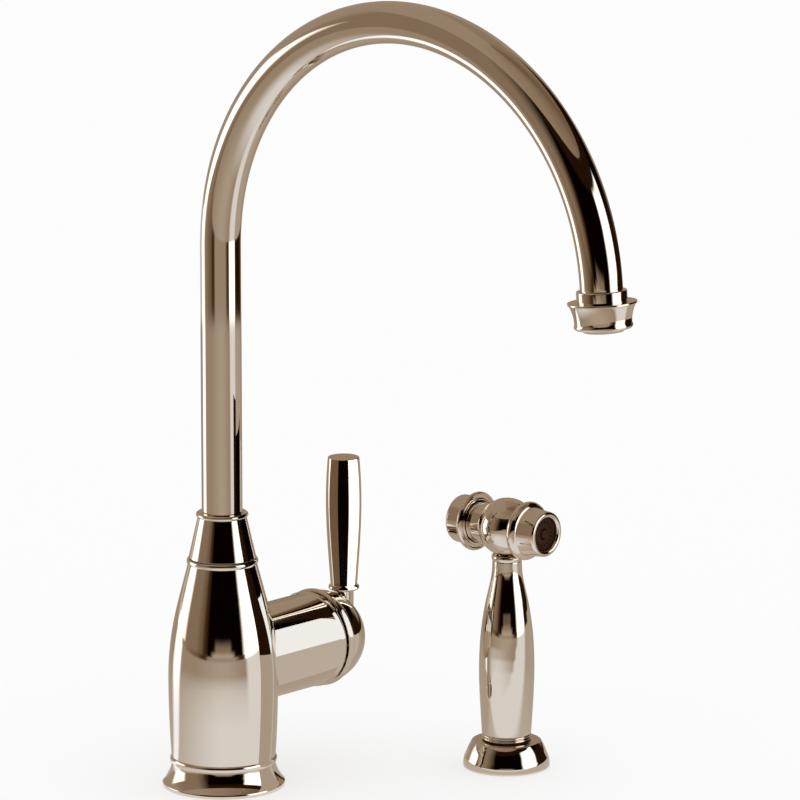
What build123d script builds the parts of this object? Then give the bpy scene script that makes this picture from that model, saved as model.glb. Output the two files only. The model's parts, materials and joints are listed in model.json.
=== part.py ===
"""Single-lever kitchen faucet with a swan-neck spout and a side spray in its own holder.

Frame: the origin is on the column's axis at the worktop's surface, +Z is up, the spout
points along -Y and the lever's barrel along +X. All sizes are in millimetres.
"""
import os
from math import asin, cos, radians, sin, sqrt

from build123d import *

os.makedirs("parts", exist_ok=True)

# ---------------------------------------------------------------- driving dimensions
# fits
slip = 0.05                 # radial clearance between pieces that fit into each other
gap = 0.3                   # clearance between pieces that move past each other

# fixing to the worktop
deck_thickness = 30.0
seal_thickness = 2.0
seal_margin = 2.0           # width of flange left on each side of the seal
rubber_washer_thickness = 3.0
steel_washer_thickness = 2.0
shank_radius = 16.0
shank_wall = 2.5
shank_thread = 10.0         # length screwed into the casting
shank_stand_out = 15.0      # length left under the nut
fixing_washer_width = 10.7
fixing_nut_width = 4.5
fixing_nut_height = 8.0

# base flange
flange_neck_radius = 25.5
flange_wall = 3.0           # beside the casting's spigot
flange_spread = 4.9         # how far the foot stands out of the neck
flange_edge = 2.0           # height of the rounded lip at the worktop
flange_cove_height = 11.6
bead_height = 3.6
bead_bulge = 0.9            # how far a bead stands out of the wall behind it

# water ways
port_radius = 4.3
port_margin = 0.25          # between the ports and the shank's bore
port_depth = 17.0
way_radius = 2.5
way_wall = 1.5
inlet_way_drop = 7.6        # inlet ways below the barrel's axis
outlet_way_rise = 5.0       # outlet way above it
nipple_radius = 4.0
nipple_thread_radius = 4.8
nipple_thread = 12.0
nipple_stand_out = 14.0     # below the shank

# body casting; heights are taken from the barrel's axis
barrel_height = 61.6
body_step = 0.2             # between the flange's neck and the casting's foot
body_swell = 3.6            # the casting's waist is this much wider than the barrel
waist_drop = 7.6
shoulder_rise = 18.4
shoulder_draw = 2.3         # how much narrower the shoulder is than the waist
neck_rise = 50.2
neck_margin = 1.0           # wall round the glide ring
neck_bead_height = 2.8
neck_bead_bulge = 0.6

# lever barrel
barrel_radius = 23.4
barrel_length = 65.0
barrel_bead_length = 3.6
barrel_bead_bulge = 0.7
barrel_fillet = 1.2

# cartridge and its pocket; depths are taken from the barrel's end
pocket_depth = 44.0
pocket_wall = 5.8
thread_depth = 9.0
thread_wall = 2.9
cartridge_seal_thickness = 1.0
cartridge_base_thickness = 5.0
disc_thickness = 3.0
disc_margin = 1.0
housing_wall = 3.6
housing_roof = 4.0
housing_lip = 2.0
rotor_stand_out = 3.5       # beyond the housing's roof's inner side
spindle_side = 8.0
spindle_tail = 10.0         # behind the pivot
pivot_depth = 15.0          # the lever tilts about a pin across the barrel here
pivot_pin_radius = 1.5
tilt_range = 22.0
bonnet_inset = 1.95         # the bonnet's foot is this much narrower than the barrel
bonnet_bore = 14.5

# lever; lengths along the barrel are taken from the cap's rim
cap_gap = 2.0               # between the barrel's end and the cap's rim
cap_rim_length = 3.6
cap_rim_bulge = 1.2         # beyond the barrel's radius
cap_dome_start = 2.5
cap_dome_swell = 0.2        # beyond the barrel's radius
cap_wall = 1.8
cap_hub_radius = 8.0
cap_hub_length = 14.1       # from the dome's inside
cap_screw_inset = 3.3
cap_screw_radius = 2.5
cap_screw_length = 4.0
stem_inset = 4.2            # stem's axis from the dome's tip
stem_radius = 4.9
stem_rise = 8.3             # stem's foot above the barrel's axis
stem_boss_wall = 0.95
stem_boss_lap = 1.7         # how far the stem's foot goes into its boss
spindle_inset = 0.9         # spindle's end from the stem's axis
handle_rise = 20.8          # handle's foot above the barrel's axis
handle_socket = 7.6
handle_length = 68.2
handle_bead_radius = 7.8
handle_bead_height = 3.0
handle_neck_draw = 1.1      # how much narrower the neck is than the bead
handle_swell = 1.15         # how much wider the belly is than the bead
handle_belly_rise = 43.6
handle_top_draw = 1.05      # how much narrower the top is than the belly

# spout and its swivel
tube_radius = 10.0
tube_wall = 1.5
swivel_wall = 0.95          # round the tube's foot
swivel_rise = 18.4          # spigot's foot above the barrel's axis
swivel_seat = 7.4           # spigot's top above the casting
swivel_groove_rise = 5.0
swivel_groove_depth = 1.6
set_screw_radius = 2.0
set_screw_length = 9.0
o_ring_section = 2.0
o_ring_rise = 10.0
o_ring_spacing = 4.5
glide_ring_width = 4.7
glide_ring_thickness = 1.3
cone_height = 20.4
cone_inset = 0.4            # the cone's foot is this much narrower than the casting's top
cone_wall = 2.0             # round the tube, at the cone's top
collar_bulge = 0.9
collar_thickness = 2.2
rise_length = 132.55        # straight tube above the collar
arch_radius = 119.7
arch_turn = 175.5

# diverter
diverter_radius = 7.4
diverter_chamber = 4.2
diverter_wall = 1.5
diverter_stroke = 3.0

# ferrule and aerator; distances run down the tube from the arch's end
ferrule_start = 1.5
ferrule_wall = 1.8
ferrule_length = 5.3        # in view, above the cup
tube_seat = 1.2             # how far the tube goes beyond the cup's top
cup_height = 12.5
cup_rim_spread = 6.2        # the rim stands this far out of the tube
cup_rim_thickness = 1.0
cup_waist_spread = 3.4
cup_bead_bulge = 0.5
cup_bead_height = 2.4
cup_thread_wall = 1.2
cup_thread_length = 5.2
cup_lip_height = 1.6
cup_lip_width = 0.5
aerator_spread = 0.3        # the insert is this much wider than the tube
aerator_stand_out = 1.8
aerator_jets = 8
aerator_jet_radius = 1.2
aerator_jet_ring = 6.2
washer_thickness = 1.6

# side spray: where it stands, and its holder
spray_x = 118.1
spray_y = -82.7
tail_radius = 8.6
tail_drop = 18.0            # below the worktop's surface
bush_wall = 1.65
bush_drop = 20.0
bush_flange_width = 1.4
bush_flange_thickness = 1.7
bush_proud = 0.2            # the bush's flange stands out of the holder
holder_height = 13.4
holder_tail_wall = 1.6
holder_tail_stand_out = 10.0
holder_shoulder_width = 5.1
holder_swell = 3.3          # from the shoulder to the belly
holder_spread = 1.2         # from the belly to the foot
holder_belly_height = 6.4
holder_washer_width = 7.5
holder_nut_width = 3.8
holder_nut_height = 7.0

# side spray: hose tail and grip; heights are taken from the grip's foot
tail_bore = 3.5
tail_thread_radius = 7.0
tail_thread_length = 13.0
hose_thread_radius = 6.6
hose_thread_length = 12.0
foot_ring_height = 3.0
grip_foot_radius = 12.3
grip_swell = 1.5
grip_belly_rise = 37.1
grip_waist_radius = 10.1
grip_waist_rise = 69.8
grip_neck_radius = 7.3
grip_length = 88.5
grip_bore = 4.0
grip_socket = 11.0
neck_ring_bulge = 0.5
neck_ring_height = 2.9
neck_groove_depth = 1.2
neck_groove_height = 1.6
neck_groove_rise = 3.0

# side spray: head; lengths are taken from where the ball meets its barrels
ball_radius = 14.6
ball_seat = 0.8             # how far the ball dips into the neck ring
head_barrel_radius = 10.4
head_spigot_radius = 5.0
nozzle_ring_length = 5.6
nozzle_ring_spread = 4.4
nozzle_seat = 1.8           # the front barrel's length inside the nozzle
nozzle_length = 9.9
nozzle_back_spread = 1.9
nozzle_front_spread = 0.9
nozzle_rim_rounding = 1.2
nozzle_rim_width = 3.0
face_inset = 2.2            # the face lies this far inside the rim
face_thickness = 2.4
face_clearance = 0.1
face_button_radius = 2.2
face_button_height = 0.8
face_jets = 18
face_jet_ring = 5.9
face_jet_radius = 0.5
valve_seat = 6.0
valve_chamber_radius = 7.5
valve_stem_radius = 2.0
valve_stem_end = 4.0
valve_disc_radius = 4.6
valve_disc_thickness = 2.2
back_barrel_length = 8.2    # in view, between the ball and the button
button_lap = 1.6            # the back barrel's length inside the button
button_flange_length = 3.0
button_flange_width = 2.7
button_wall = 1.4
button_length = 12.6
button_rounding = 2.0
button_roof = 2.5
button_stroke = 3.0
spring_inset = 3.8
spring_wire = 1.2

# ---------------------------------------------------------------- derived sizes and places
# base and fixings, from the flange's neck inwards and from the worktop down
spigot_radius = flange_neck_radius - flange_wall
flange_radius = flange_neck_radius + flange_spread
body_foot_radius = flange_neck_radius + body_step
body_base = flange_cove_height + bead_height
spigot_bottom = seal_thickness + 1
port_ceiling = spigot_bottom + shank_thread
shank_bore = shank_radius - shank_wall
rubber_bottom = -deck_thickness - rubber_washer_thickness
steel_bottom = rubber_bottom - steel_washer_thickness
nut_bottom = steel_bottom - fixing_nut_height
shank_bottom = nut_bottom - shank_stand_out
port_circle = shank_bore - port_radius - port_margin
way_shift = port_radius - way_radius - 0.2
inlet_x = port_circle / 2
inlet_y = port_circle * sqrt(3) / 2 - way_shift
inlet_way_height = barrel_height - inlet_way_drop
outlet_way_height = barrel_height + outlet_way_rise
spray_way_x = way_shift - port_circle

# spout tube and what goes round it, from the tube outwards
swivel_radius = tube_radius + slip + swivel_wall
swivel_bore = tube_radius - tube_wall - 1
glide_ring_radius = swivel_radius + gap + glide_ring_width
body_neck_radius = glide_ring_radius + neck_margin
cone_foot_radius = body_neck_radius - cone_inset
cone_top_radius = tube_radius + cone_wall
collar_radius = cone_top_radius + collar_bulge
ferrule_radius = tube_radius + ferrule_wall
cup_thread_radius = tube_radius + cup_thread_wall
cup_rim_radius = tube_radius + cup_rim_spread
cup_waist_radius = tube_radius + cup_waist_spread
aerator_radius = tube_radius + aerator_spread
cup_lip_radius = aerator_radius - cup_lip_width
aerator_nose_radius = cup_lip_radius - gap

# casting, from the barrel outwards and from its axis up
body_waist_radius = barrel_radius + body_swell
body_waist_height = barrel_height - waist_drop
body_shoulder_radius = body_waist_radius - shoulder_draw
body_shoulder_height = barrel_height + shoulder_rise
body_neck_height = barrel_height + neck_rise
body_top = body_neck_height + neck_bead_height
swivel_bottom = barrel_height + swivel_rise
swivel_top = body_top + swivel_seat
swivel_groove_center = swivel_bottom + swivel_groove_rise
swivel_groove_radius = swivel_radius - swivel_groove_depth
swivel_groove_height = 2 * set_screw_radius + 0.4
o_ring_depth = swivel_radius - o_ring_section
o_ring_heights = (
    swivel_bottom + o_ring_rise,
    swivel_bottom + o_ring_rise + o_ring_spacing,
)
tube_bottom = o_ring_heights[1] + o_ring_section + 1.5
glide_ring_bottom = body_top + 0.1 - glide_ring_thickness
diverter_floor = inlet_way_height + way_radius + way_wall
diverter_bottom = diverter_floor + 2
diverter_height = swivel_bottom - diverter_bottom - 2
cone_foot = body_top + gap + 0.1
cone_top = cone_foot + cone_height
collar_top = cone_top + collar_thickness
arch_start = collar_top + rise_length
tilt = radians(180 - arch_turn)
outlet_start = Vector(0, -arch_radius * (1 + cos(tilt)), arch_start + arch_radius * sin(tilt))
outlet_direction = Vector(0, -sin(tilt), -cos(tilt))
cup_start = ferrule_start + ferrule_length
tube_end_run = cup_start + tube_seat

# cartridge, from the pocket inwards and along the barrel
pocket_floor = barrel_length - pocket_depth
pocket_radius = barrel_radius - pocket_wall
pocket_thread_start = barrel_length - thread_depth
pocket_thread_radius = barrel_radius - thread_wall
pivot_reach = barrel_length - pivot_depth
cartridge_radius = pocket_radius - 0.2
housing_bore = pocket_radius - housing_wall
housing_mouth = housing_bore - housing_lip
fixed_disc_radius = housing_bore - disc_margin
moving_disc_radius = fixed_disc_radius - disc_margin
cartridge_base_start = pocket_floor + cartridge_seal_thickness
fixed_disc_start = cartridge_base_start + cartridge_base_thickness
moving_disc_start = fixed_disc_start + disc_thickness + slip
rotor_start = moving_disc_start + disc_thickness
rotor_radius = housing_bore - gap
rotor_end = pocket_thread_start - housing_roof + rotor_stand_out
pivot_pin_half = rotor_radius - 1.7
spindle_start = pivot_reach - spindle_tail
bonnet_seat = barrel_length + slip
bonnet_foot = barrel_radius - bonnet_inset
bonnet_radius = sqrt((bonnet_seat - pivot_reach) ** 2 + bonnet_foot**2)

# lever
cap_rim_start = barrel_length + cap_gap
cap_rim_end = cap_rim_start + cap_rim_length
cap_rim_radius = barrel_radius + cap_rim_bulge
cap_dome_center = cap_rim_start + cap_dome_start
cap_dome_radius = barrel_radius + cap_dome_swell
cap_dome_inside = cap_dome_radius - cap_wall
cap_inside_tip = cap_dome_center + cap_dome_inside
cap_hub_start = cap_inside_tip - cap_hub_length
cap_screw_reach = cap_hub_start + cap_screw_inset
stem_reach = cap_dome_center + cap_dome_radius - stem_inset
stem_boss_radius = stem_radius + slip + stem_boss_wall
spindle_end = stem_reach - spindle_inset
handle_foot = barrel_height + handle_rise
handle_neck_radius = handle_bead_radius - handle_neck_draw
handle_belly_radius = handle_bead_radius + handle_swell
handle_top_radius = handle_belly_radius - handle_top_draw
handle_top = handle_foot + handle_length

# side spray, from its tail outwards and upwards
bush_bore = tail_radius + gap
bush_radius = bush_bore + bush_wall
holder_bore = bush_radius + slip
holder_tail_radius = holder_bore + holder_tail_wall
bush_flange_radius = holder_bore + bush_flange_width
holder_shoulder_radius = bush_flange_radius + holder_shoulder_width
holder_belly_radius = holder_shoulder_radius + holder_swell
holder_radius = holder_belly_radius + holder_spread
holder_nut_bottom = rubber_bottom - holder_nut_height
holder_tail_bottom = holder_nut_bottom - holder_tail_stand_out
bush_seat = holder_height + bush_proud - bush_flange_thickness
bush_top = bush_seat + bush_flange_thickness
foot_ring_bottom = bush_top + gap
grip_bottom = foot_ring_bottom + foot_ring_height
grip_belly_radius = grip_foot_radius + grip_swell
grip_top = grip_bottom + grip_length
neck_ring_radius = grip_neck_radius + neck_ring_bulge
head_height = grip_top + neck_ring_height + ball_radius - ball_seat
head_spigot_end = grip_top - grip_socket + 0.2
neck_groove = head_spigot_end + neck_groove_rise

# spray head, forwards and backwards from the ball's centre
ball_half = sqrt(ball_radius**2 - head_barrel_radius**2)
nozzle_ring_start = ball_half + 0.2
nozzle_start = nozzle_ring_start + nozzle_ring_length
nozzle_front = nozzle_start + nozzle_length
head_front = nozzle_start + nozzle_seat
nozzle_ring_radius = head_barrel_radius + nozzle_ring_spread
nozzle_back_radius = head_barrel_radius + nozzle_back_spread
nozzle_front_radius = head_barrel_radius + nozzle_front_spread
nozzle_mouth_radius = nozzle_front_radius - nozzle_rim_width
face_radius = nozzle_mouth_radius - face_clearance
face_front = nozzle_front - face_inset
button_face = ball_half + back_barrel_length
head_back = button_face + button_lap
button_back = button_face + button_length
button_floor = button_back - button_roof
button_bore = head_barrel_radius + gap + 0.1
button_cap_radius = button_bore + button_wall
button_flange_radius = button_cap_radius + button_flange_width
spring_radius = head_barrel_radius - spring_inset

# ---------------------------------------------------------------- planes and axes
column = Plane.XZ
barrel = Plane(origin=(0, 0, barrel_height), x_dir=(1, 0, 0), z_dir=(0, -1, 0))
barrel_axis = Axis((0, 0, barrel_height), (1, 0, 0))
lever = Plane(origin=(stem_reach, 0, 0), x_dir=(1, 0, 0), z_dir=(0, -1, 0))
lever_axis = Axis((stem_reach, 0, 0), (0, 0, 1))
outlet = Plane(
    origin=outlet_start,
    x_dir=(1, 0, 0),
    z_dir=Vector(1, 0, 0).cross(outlet_direction),
)
outlet_axis = Axis(outlet_start, outlet_direction)
spray = Plane(origin=(spray_x, spray_y, 0), x_dir=(1, 0, 0), z_dir=(0, -1, 0))
spray_axis = Axis((spray_x, spray_y, 0), (0, 0, 1))
head = Plane(origin=(spray_x, spray_y, head_height), x_dir=(0, -1, 0), z_dir=(-1, 0, 0))
head_axis = Axis((spray_x, spray_y, head_height), (0, -1, 0))


def level(height):
    """Plane across the column at a height."""
    return Plane.XY.offset(height)


def barrel_cut(reach):
    """Plane across the lever's barrel, facing outwards."""
    return Plane(origin=(reach, 0, barrel_height), x_dir=(0, 1, 0), z_dir=(1, 0, 0))


def outlet_cut(distance):
    """Plane across the spout's end, facing down the tube."""
    return Plane(
        origin=outlet_start + outlet_direction * distance,
        x_dir=(1, 0, 0),
        z_dir=outlet_direction,
    )


def spray_level(height):
    """Plane across the side spray at a height."""
    return Plane.XY.offset(height).shift_origin((spray_x, spray_y, height))


def head_cut(forward):
    """Plane across the spray head, facing forwards."""
    return Plane(
        origin=(spray_x, spray_y - forward, head_height),
        x_dir=(1, 0, 0),
        z_dir=(0, -1, 0),
    )


def rod(plane, radius, length, mode=Mode.ADD):
    """Add or cut a round rod that starts on a plane and runs along its normal."""
    with BuildSketch(plane) as section:
        Circle(radius)
    extrude(section.sketch, amount=length, mode=mode)


def tube(plane, bore, radius, length):
    """Add a tube that starts on a plane and runs along its normal."""
    with BuildSketch(plane) as section:
        Circle(radius)
        Circle(bore, mode=Mode.SUBTRACT)
    extrude(section.sketch, amount=length)


def hex_nut(plane, flats, bore, height):
    """Add a hexagonal nut on a plane."""
    with BuildSketch(plane) as section:
        RegularPolygon(flats / 2, 6, major_radius=False)
        Circle(bore, mode=Mode.SUBTRACT)
    extrude(section.sketch, amount=height)


def turned(plane, axis, *corners, mode=Mode.ADD):
    """Add or cut a turned shape, from the corners of its half section."""
    with BuildSketch(plane) as section:
        with BuildLine():
            Polyline(*corners, close=True)
        make_face()
    revolve(section.sketch, axis=axis, mode=mode)


def save(piece, name):
    """Label a finished piece and write its STEP file."""
    piece.part.label = name
    export_step(piece.part, f"parts/{name}.step")


# ================================================================ faucet: base
with BuildPart() as base_flange:
    with BuildSketch(column):
        with BuildLine():
            lip = Polyline(
                (spigot_radius + slip, 0),
                (flange_radius - 0.4, 0),
                (flange_radius, flange_edge / 2),
                (flange_radius - 0.2, flange_edge),
            )
            cove = TangentArc(
                (flange_neck_radius, flange_cove_height),
                lip @ 1,
                tangent=(0.12, -1),
            )
            bead = ThreePointArc(
                (flange_neck_radius, flange_cove_height),
                (flange_neck_radius + bead_bulge, flange_cove_height + bead_height / 2),
                (flange_neck_radius, body_base),
            )
            Polyline(bead @ 1, (spigot_radius + slip, body_base), lip @ 0)
        make_face()
    revolve(axis=Axis.Z)
    seal_groove_inner = spigot_radius + seal_margin
    seal_groove_outer = flange_radius - seal_margin
    with BuildSketch(level(0)):
        Circle(seal_groove_outer)
        Circle(seal_groove_inner, mode=Mode.SUBTRACT)
    extrude(amount=seal_thickness, mode=Mode.SUBTRACT)
save(base_flange, "base_flange")

with BuildPart() as base_seal:
    tube(level(0), seal_groove_inner + slip, seal_groove_outer - slip, seal_thickness)
save(base_seal, "base_seal")

with BuildPart() as mounting_shank:
    tube(level(shank_bottom), shank_bore, shank_radius, port_ceiling - 0.2 - shank_bottom)
    chamfer(mounting_shank.edges().group_by(Axis.Z)[0].sort_by(SortBy.RADIUS)[-1], 1)
save(mounting_shank, "mounting_shank")

washer_bore = shank_radius + gap
washer_radius = washer_bore + fixing_washer_width

with BuildPart() as fixing_rubber_washer:
    tube(level(rubber_bottom), washer_bore, washer_radius, rubber_washer_thickness)
save(fixing_rubber_washer, "fixing_rubber_washer")

with BuildPart() as fixing_steel_washer:
    tube(level(steel_bottom), washer_bore, washer_radius, steel_washer_thickness)
save(fixing_steel_washer, "fixing_steel_washer")

with BuildPart() as fixing_nut:
    hex_nut(
        level(nut_bottom),
        2 * (shank_radius + fixing_nut_width),
        shank_radius + slip,
        fixing_nut_height,
    )
save(fixing_nut, "fixing_nut")

# ================================================================ faucet: body casting
with BuildPart() as body_casting:
    with BuildSketch(column):
        with BuildLine():
            belly = TangentArc(
                (body_waist_radius, body_waist_height),
                (body_foot_radius, body_base),
                tangent=(0, -1),
            )
            shoulder = Spline(
                (body_waist_radius, body_waist_height),
                (body_shoulder_radius, body_shoulder_height),
                (body_neck_radius, body_neck_height),
                tangents=((0, 1), (-0.25, 1)),
            )
            bead = ThreePointArc(
                shoulder @ 1,
                (body_neck_radius + neck_bead_bulge, body_neck_height + neck_bead_height / 2),
                (body_neck_radius, body_top),
            )
            Polyline(bead @ 1, (0, body_top), (0, body_base), belly @ 1)
        make_face()
    revolve(axis=Axis.Z)
    rod(barrel_cut(0), barrel_radius, barrel_length)
    seam = body_casting.edges(Select.LAST).filter_by(GeomType.BSPLINE)
    fillet(seam, barrel_fillet)
    with BuildSketch(barrel) as bead_section:
        with BuildLine():
            bead = ThreePointArc(
                (barrel_length - barrel_bead_length, barrel_radius),
                (barrel_length - barrel_bead_length / 2, barrel_radius + barrel_bead_bulge),
                (barrel_length, barrel_radius),
            )
            Polyline(
                bead @ 1,
                (barrel_length, barrel_radius - 1),
                (barrel_length - barrel_bead_length, barrel_radius - 1),
                bead @ 0,
            )
        make_face()
    revolve(axis=barrel_axis)
    rod(level(spigot_bottom), spigot_radius, body_base - spigot_bottom)
    # threaded hole for the shank, with the three ports in its ceiling
    rod(level(spigot_bottom), shank_radius + slip, shank_thread, Mode.SUBTRACT)
    with BuildSketch(level(port_ceiling)):
        with PolarLocations(port_circle, 3, start_angle=60):
            Circle(port_radius)
    extrude(amount=port_depth, mode=Mode.SUBTRACT)
    with BuildSketch(level(port_ceiling + port_depth)):
        with Locations((inlet_x, inlet_y), (inlet_x, -inlet_y)):
            Circle(way_radius)
    extrude(amount=inlet_way_height - port_ceiling - port_depth, mode=Mode.SUBTRACT)
    with BuildSketch(barrel_cut(inlet_x)):
        with Locations((inlet_y, -inlet_way_drop), (-inlet_y, -inlet_way_drop)):
            Circle(way_radius)
    extrude(amount=pocket_floor - inlet_x, mode=Mode.SUBTRACT)
    # spray way, diverter bore and swivel bore, one above the other
    with BuildSketch(level(port_ceiling + port_depth)):
        with Locations((spray_way_x, 0)):
            Circle(way_radius)
    extrude(amount=diverter_floor - port_ceiling - port_depth, mode=Mode.SUBTRACT)
    rod(level(diverter_floor), diverter_radius + slip, swivel_bottom - diverter_floor, Mode.SUBTRACT)
    rod(level(swivel_bottom - 1), swivel_radius + slip, body_top - swivel_bottom + 1, Mode.SUBTRACT)
    rod(
        level(glide_ring_bottom), glide_ring_radius + slip, glide_ring_thickness, Mode.SUBTRACT
    )
    # cartridge pocket and its outlet way
    rod(barrel_cut(pocket_floor), pocket_radius, barrel_length - pocket_floor, Mode.SUBTRACT)
    rod(
        barrel_cut(pocket_thread_start),
        pocket_thread_radius,
        barrel_length - pocket_thread_start,
        Mode.SUBTRACT,
    )
    with BuildSketch(barrel_cut(0)):
        with Locations((0, outlet_way_rise)):
            Circle(way_radius)
    extrude(amount=pocket_floor, mode=Mode.SUBTRACT)
    # tapped hole for the spout's set screw, at the back
    set_screw_plane = Plane(
        origin=(0, swivel_groove_radius, swivel_groove_center), x_dir=(1, 0, 0), z_dir=(0, 1, 0)
    )
    rod(set_screw_plane, set_screw_radius + slip, body_waist_radius, Mode.SUBTRACT)
save(body_casting, "body_casting")

# The nipple screws into its port, runs down the shank and ends in the thread for the hose.
with BuildPart() as spray_outlet_nipple:
    nipple_bottom = shank_bottom - nipple_stand_out
    nipple_end = Plane.XY.offset(nipple_bottom).shift_origin((-port_circle, 0, nipple_bottom))
    nipple_port = nipple_end.offset(port_ceiling - nipple_bottom)
    rod(nipple_end, nipple_thread_radius, nipple_thread)
    rod(nipple_end, nipple_radius, port_ceiling - nipple_bottom)
    rod(nipple_port, port_radius - slip, port_depth - 4)
    rod(nipple_end, way_radius, port_ceiling + port_depth - nipple_bottom, Mode.SUBTRACT)
save(spray_outlet_nipple, "spray_outlet_nipple")

# ================================================================ faucet: diverter
with BuildPart() as diverter_body:
    rod(level(diverter_bottom), diverter_radius, diverter_height)
    rod(level(diverter_bottom), way_radius, diverter_height, Mode.SUBTRACT)
    rod(
        level(diverter_bottom + diverter_wall),
        diverter_chamber,
        diverter_height - 2 * diverter_wall,
        Mode.SUBTRACT,
    )
    side_port = Plane(origin=(0, 0, outlet_way_height), x_dir=(0, 1, 0), z_dir=(1, 0, 0))
    rod(side_port, way_radius, diverter_radius, Mode.SUBTRACT)
save(diverter_body, "diverter_body")

with BuildPart() as diverter_piston:
    piston_bottom = diverter_bottom + diverter_wall + gap
    piston_height = diverter_height - 2 * diverter_wall - diverter_stroke - 3 * gap
    piston_waist = diverter_chamber - gap - 1.2
    turned(
        column,
        Axis.Z,
        (0, piston_bottom),
        (diverter_chamber - gap, piston_bottom),
        (diverter_chamber - gap, piston_bottom + 2),
        (piston_waist, piston_bottom + 3),
        (piston_waist, piston_bottom + piston_height - 3),
        (diverter_chamber - gap, piston_bottom + piston_height - 2),
        (diverter_chamber - gap, piston_bottom + piston_height),
        (0, piston_bottom + piston_height),
    )
save(diverter_piston, "diverter_piston")

# ================================================================ faucet: cartridge
port_places = (
    (inlet_y, -inlet_way_drop),
    (-inlet_y, -inlet_way_drop),
    (0, outlet_way_rise),
)

with BuildPart() as cartridge_seals:
    with BuildSketch(barrel_cut(pocket_floor)):
        with Locations(*port_places):
            Circle(way_radius + 1.6)
            Circle(way_radius + 0.2, mode=Mode.SUBTRACT)
    extrude(amount=cartridge_seal_thickness)
save(cartridge_seals, "cartridge_seals")

with BuildPart() as cartridge_base:
    rod(barrel_cut(cartridge_base_start), cartridge_radius, cartridge_base_thickness)
    with BuildSketch(barrel_cut(cartridge_base_start)):
        with Locations(*port_places):
            Circle(way_radius)
    extrude(amount=cartridge_base_thickness, mode=Mode.SUBTRACT)
save(cartridge_base, "cartridge_base")

with BuildPart() as fixed_disc:
    rod(barrel_cut(fixed_disc_start), fixed_disc_radius, disc_thickness)
    with BuildSketch(barrel_cut(fixed_disc_start)):
        with Locations(*port_places):
            Circle(way_radius)
    extrude(amount=disc_thickness, mode=Mode.SUBTRACT)
save(fixed_disc, "fixed_disc")

with BuildPart() as moving_disc:
    rod(barrel_cut(moving_disc_start), moving_disc_radius, disc_thickness)
    # hollow that joins the inlets to the outlet
    with BuildSketch(barrel_cut(moving_disc_start)):
        SlotOverall(2 * outlet_way_rise + 2 * way_radius, 2 * way_radius, rotation=90)
    extrude(amount=disc_thickness / 2, mode=Mode.SUBTRACT)
save(moving_disc, "moving_disc")

with BuildPart() as cartridge_housing:
    tube(
        barrel_cut(fixed_disc_start),
        housing_bore,
        cartridge_radius,
        pocket_thread_start - fixed_disc_start,
    )
    tube(
        barrel_cut(pocket_thread_start - housing_roof),
        housing_mouth,
        housing_bore + 1,
        housing_roof,
    )
save(cartridge_housing, "cartridge_housing")

pin_plane = Plane(
    origin=(pivot_reach, -pivot_pin_half, barrel_height), x_dir=(1, 0, 0), z_dir=(0, 1, 0)
)

with BuildPart() as cartridge_rotor:
    rod(
        barrel_cut(rotor_start),
        rotor_radius,
        pocket_thread_start - housing_roof - gap - rotor_start,
    )
    rod(barrel_cut(rotor_start), housing_mouth - gap, rotor_end - rotor_start)
    # slot in which the spindle tilts
    slot_start = spindle_start - 2
    slot_height = 2 * (spindle_tail * sin(radians(tilt_range)) + spindle_side / 2 + 1.5)
    with BuildSketch(barrel_cut(slot_start)):
        Rectangle(spindle_side + 2 * gap, slot_height)
    extrude(amount=rotor_end - slot_start, mode=Mode.SUBTRACT)
    rod(pin_plane, pivot_pin_radius + slip, 2 * pivot_pin_half, Mode.SUBTRACT)
save(cartridge_rotor, "cartridge_rotor")

with BuildPart() as pivot_pin:
    rod(pin_plane.offset(1), pivot_pin_radius, 2 * pivot_pin_half - 2)
save(pivot_pin, "pivot_pin")

with BuildPart() as cartridge_spindle:
    with BuildSketch(barrel_cut(spindle_start)):
        Rectangle(spindle_side, spindle_side)
    extrude(amount=spindle_end - spindle_start)
    rod(pin_plane, pivot_pin_radius + slip, 2 * pivot_pin_half, Mode.SUBTRACT)
save(cartridge_spindle, "cartridge_spindle")

# The bonnet holds the cartridge down; its ball face is centred on the pivot.
with BuildPart() as bonnet_nut:
    bonnet_nose = pivot_reach + sqrt(bonnet_radius**2 - bonnet_bore**2)
    bonnet_mid = (asin(bonnet_foot / bonnet_radius) + asin(bonnet_bore / bonnet_radius)) / 2
    with BuildSketch(barrel):
        with BuildLine():
            ball = ThreePointArc(
                (bonnet_seat, bonnet_foot),
                (
                    pivot_reach + bonnet_radius * cos(bonnet_mid),
                    bonnet_radius * sin(bonnet_mid),
                ),
                (bonnet_nose, bonnet_bore),
            )
            Polyline(
                ball @ 1,
                (pocket_thread_start + slip, bonnet_bore),
                (pocket_thread_start + slip, pocket_thread_radius - slip),
                (bonnet_seat, pocket_thread_radius - slip),
                ball @ 0,
            )
        make_face()
    revolve(axis=barrel_axis)
save(bonnet_nut, "bonnet_nut")

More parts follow.
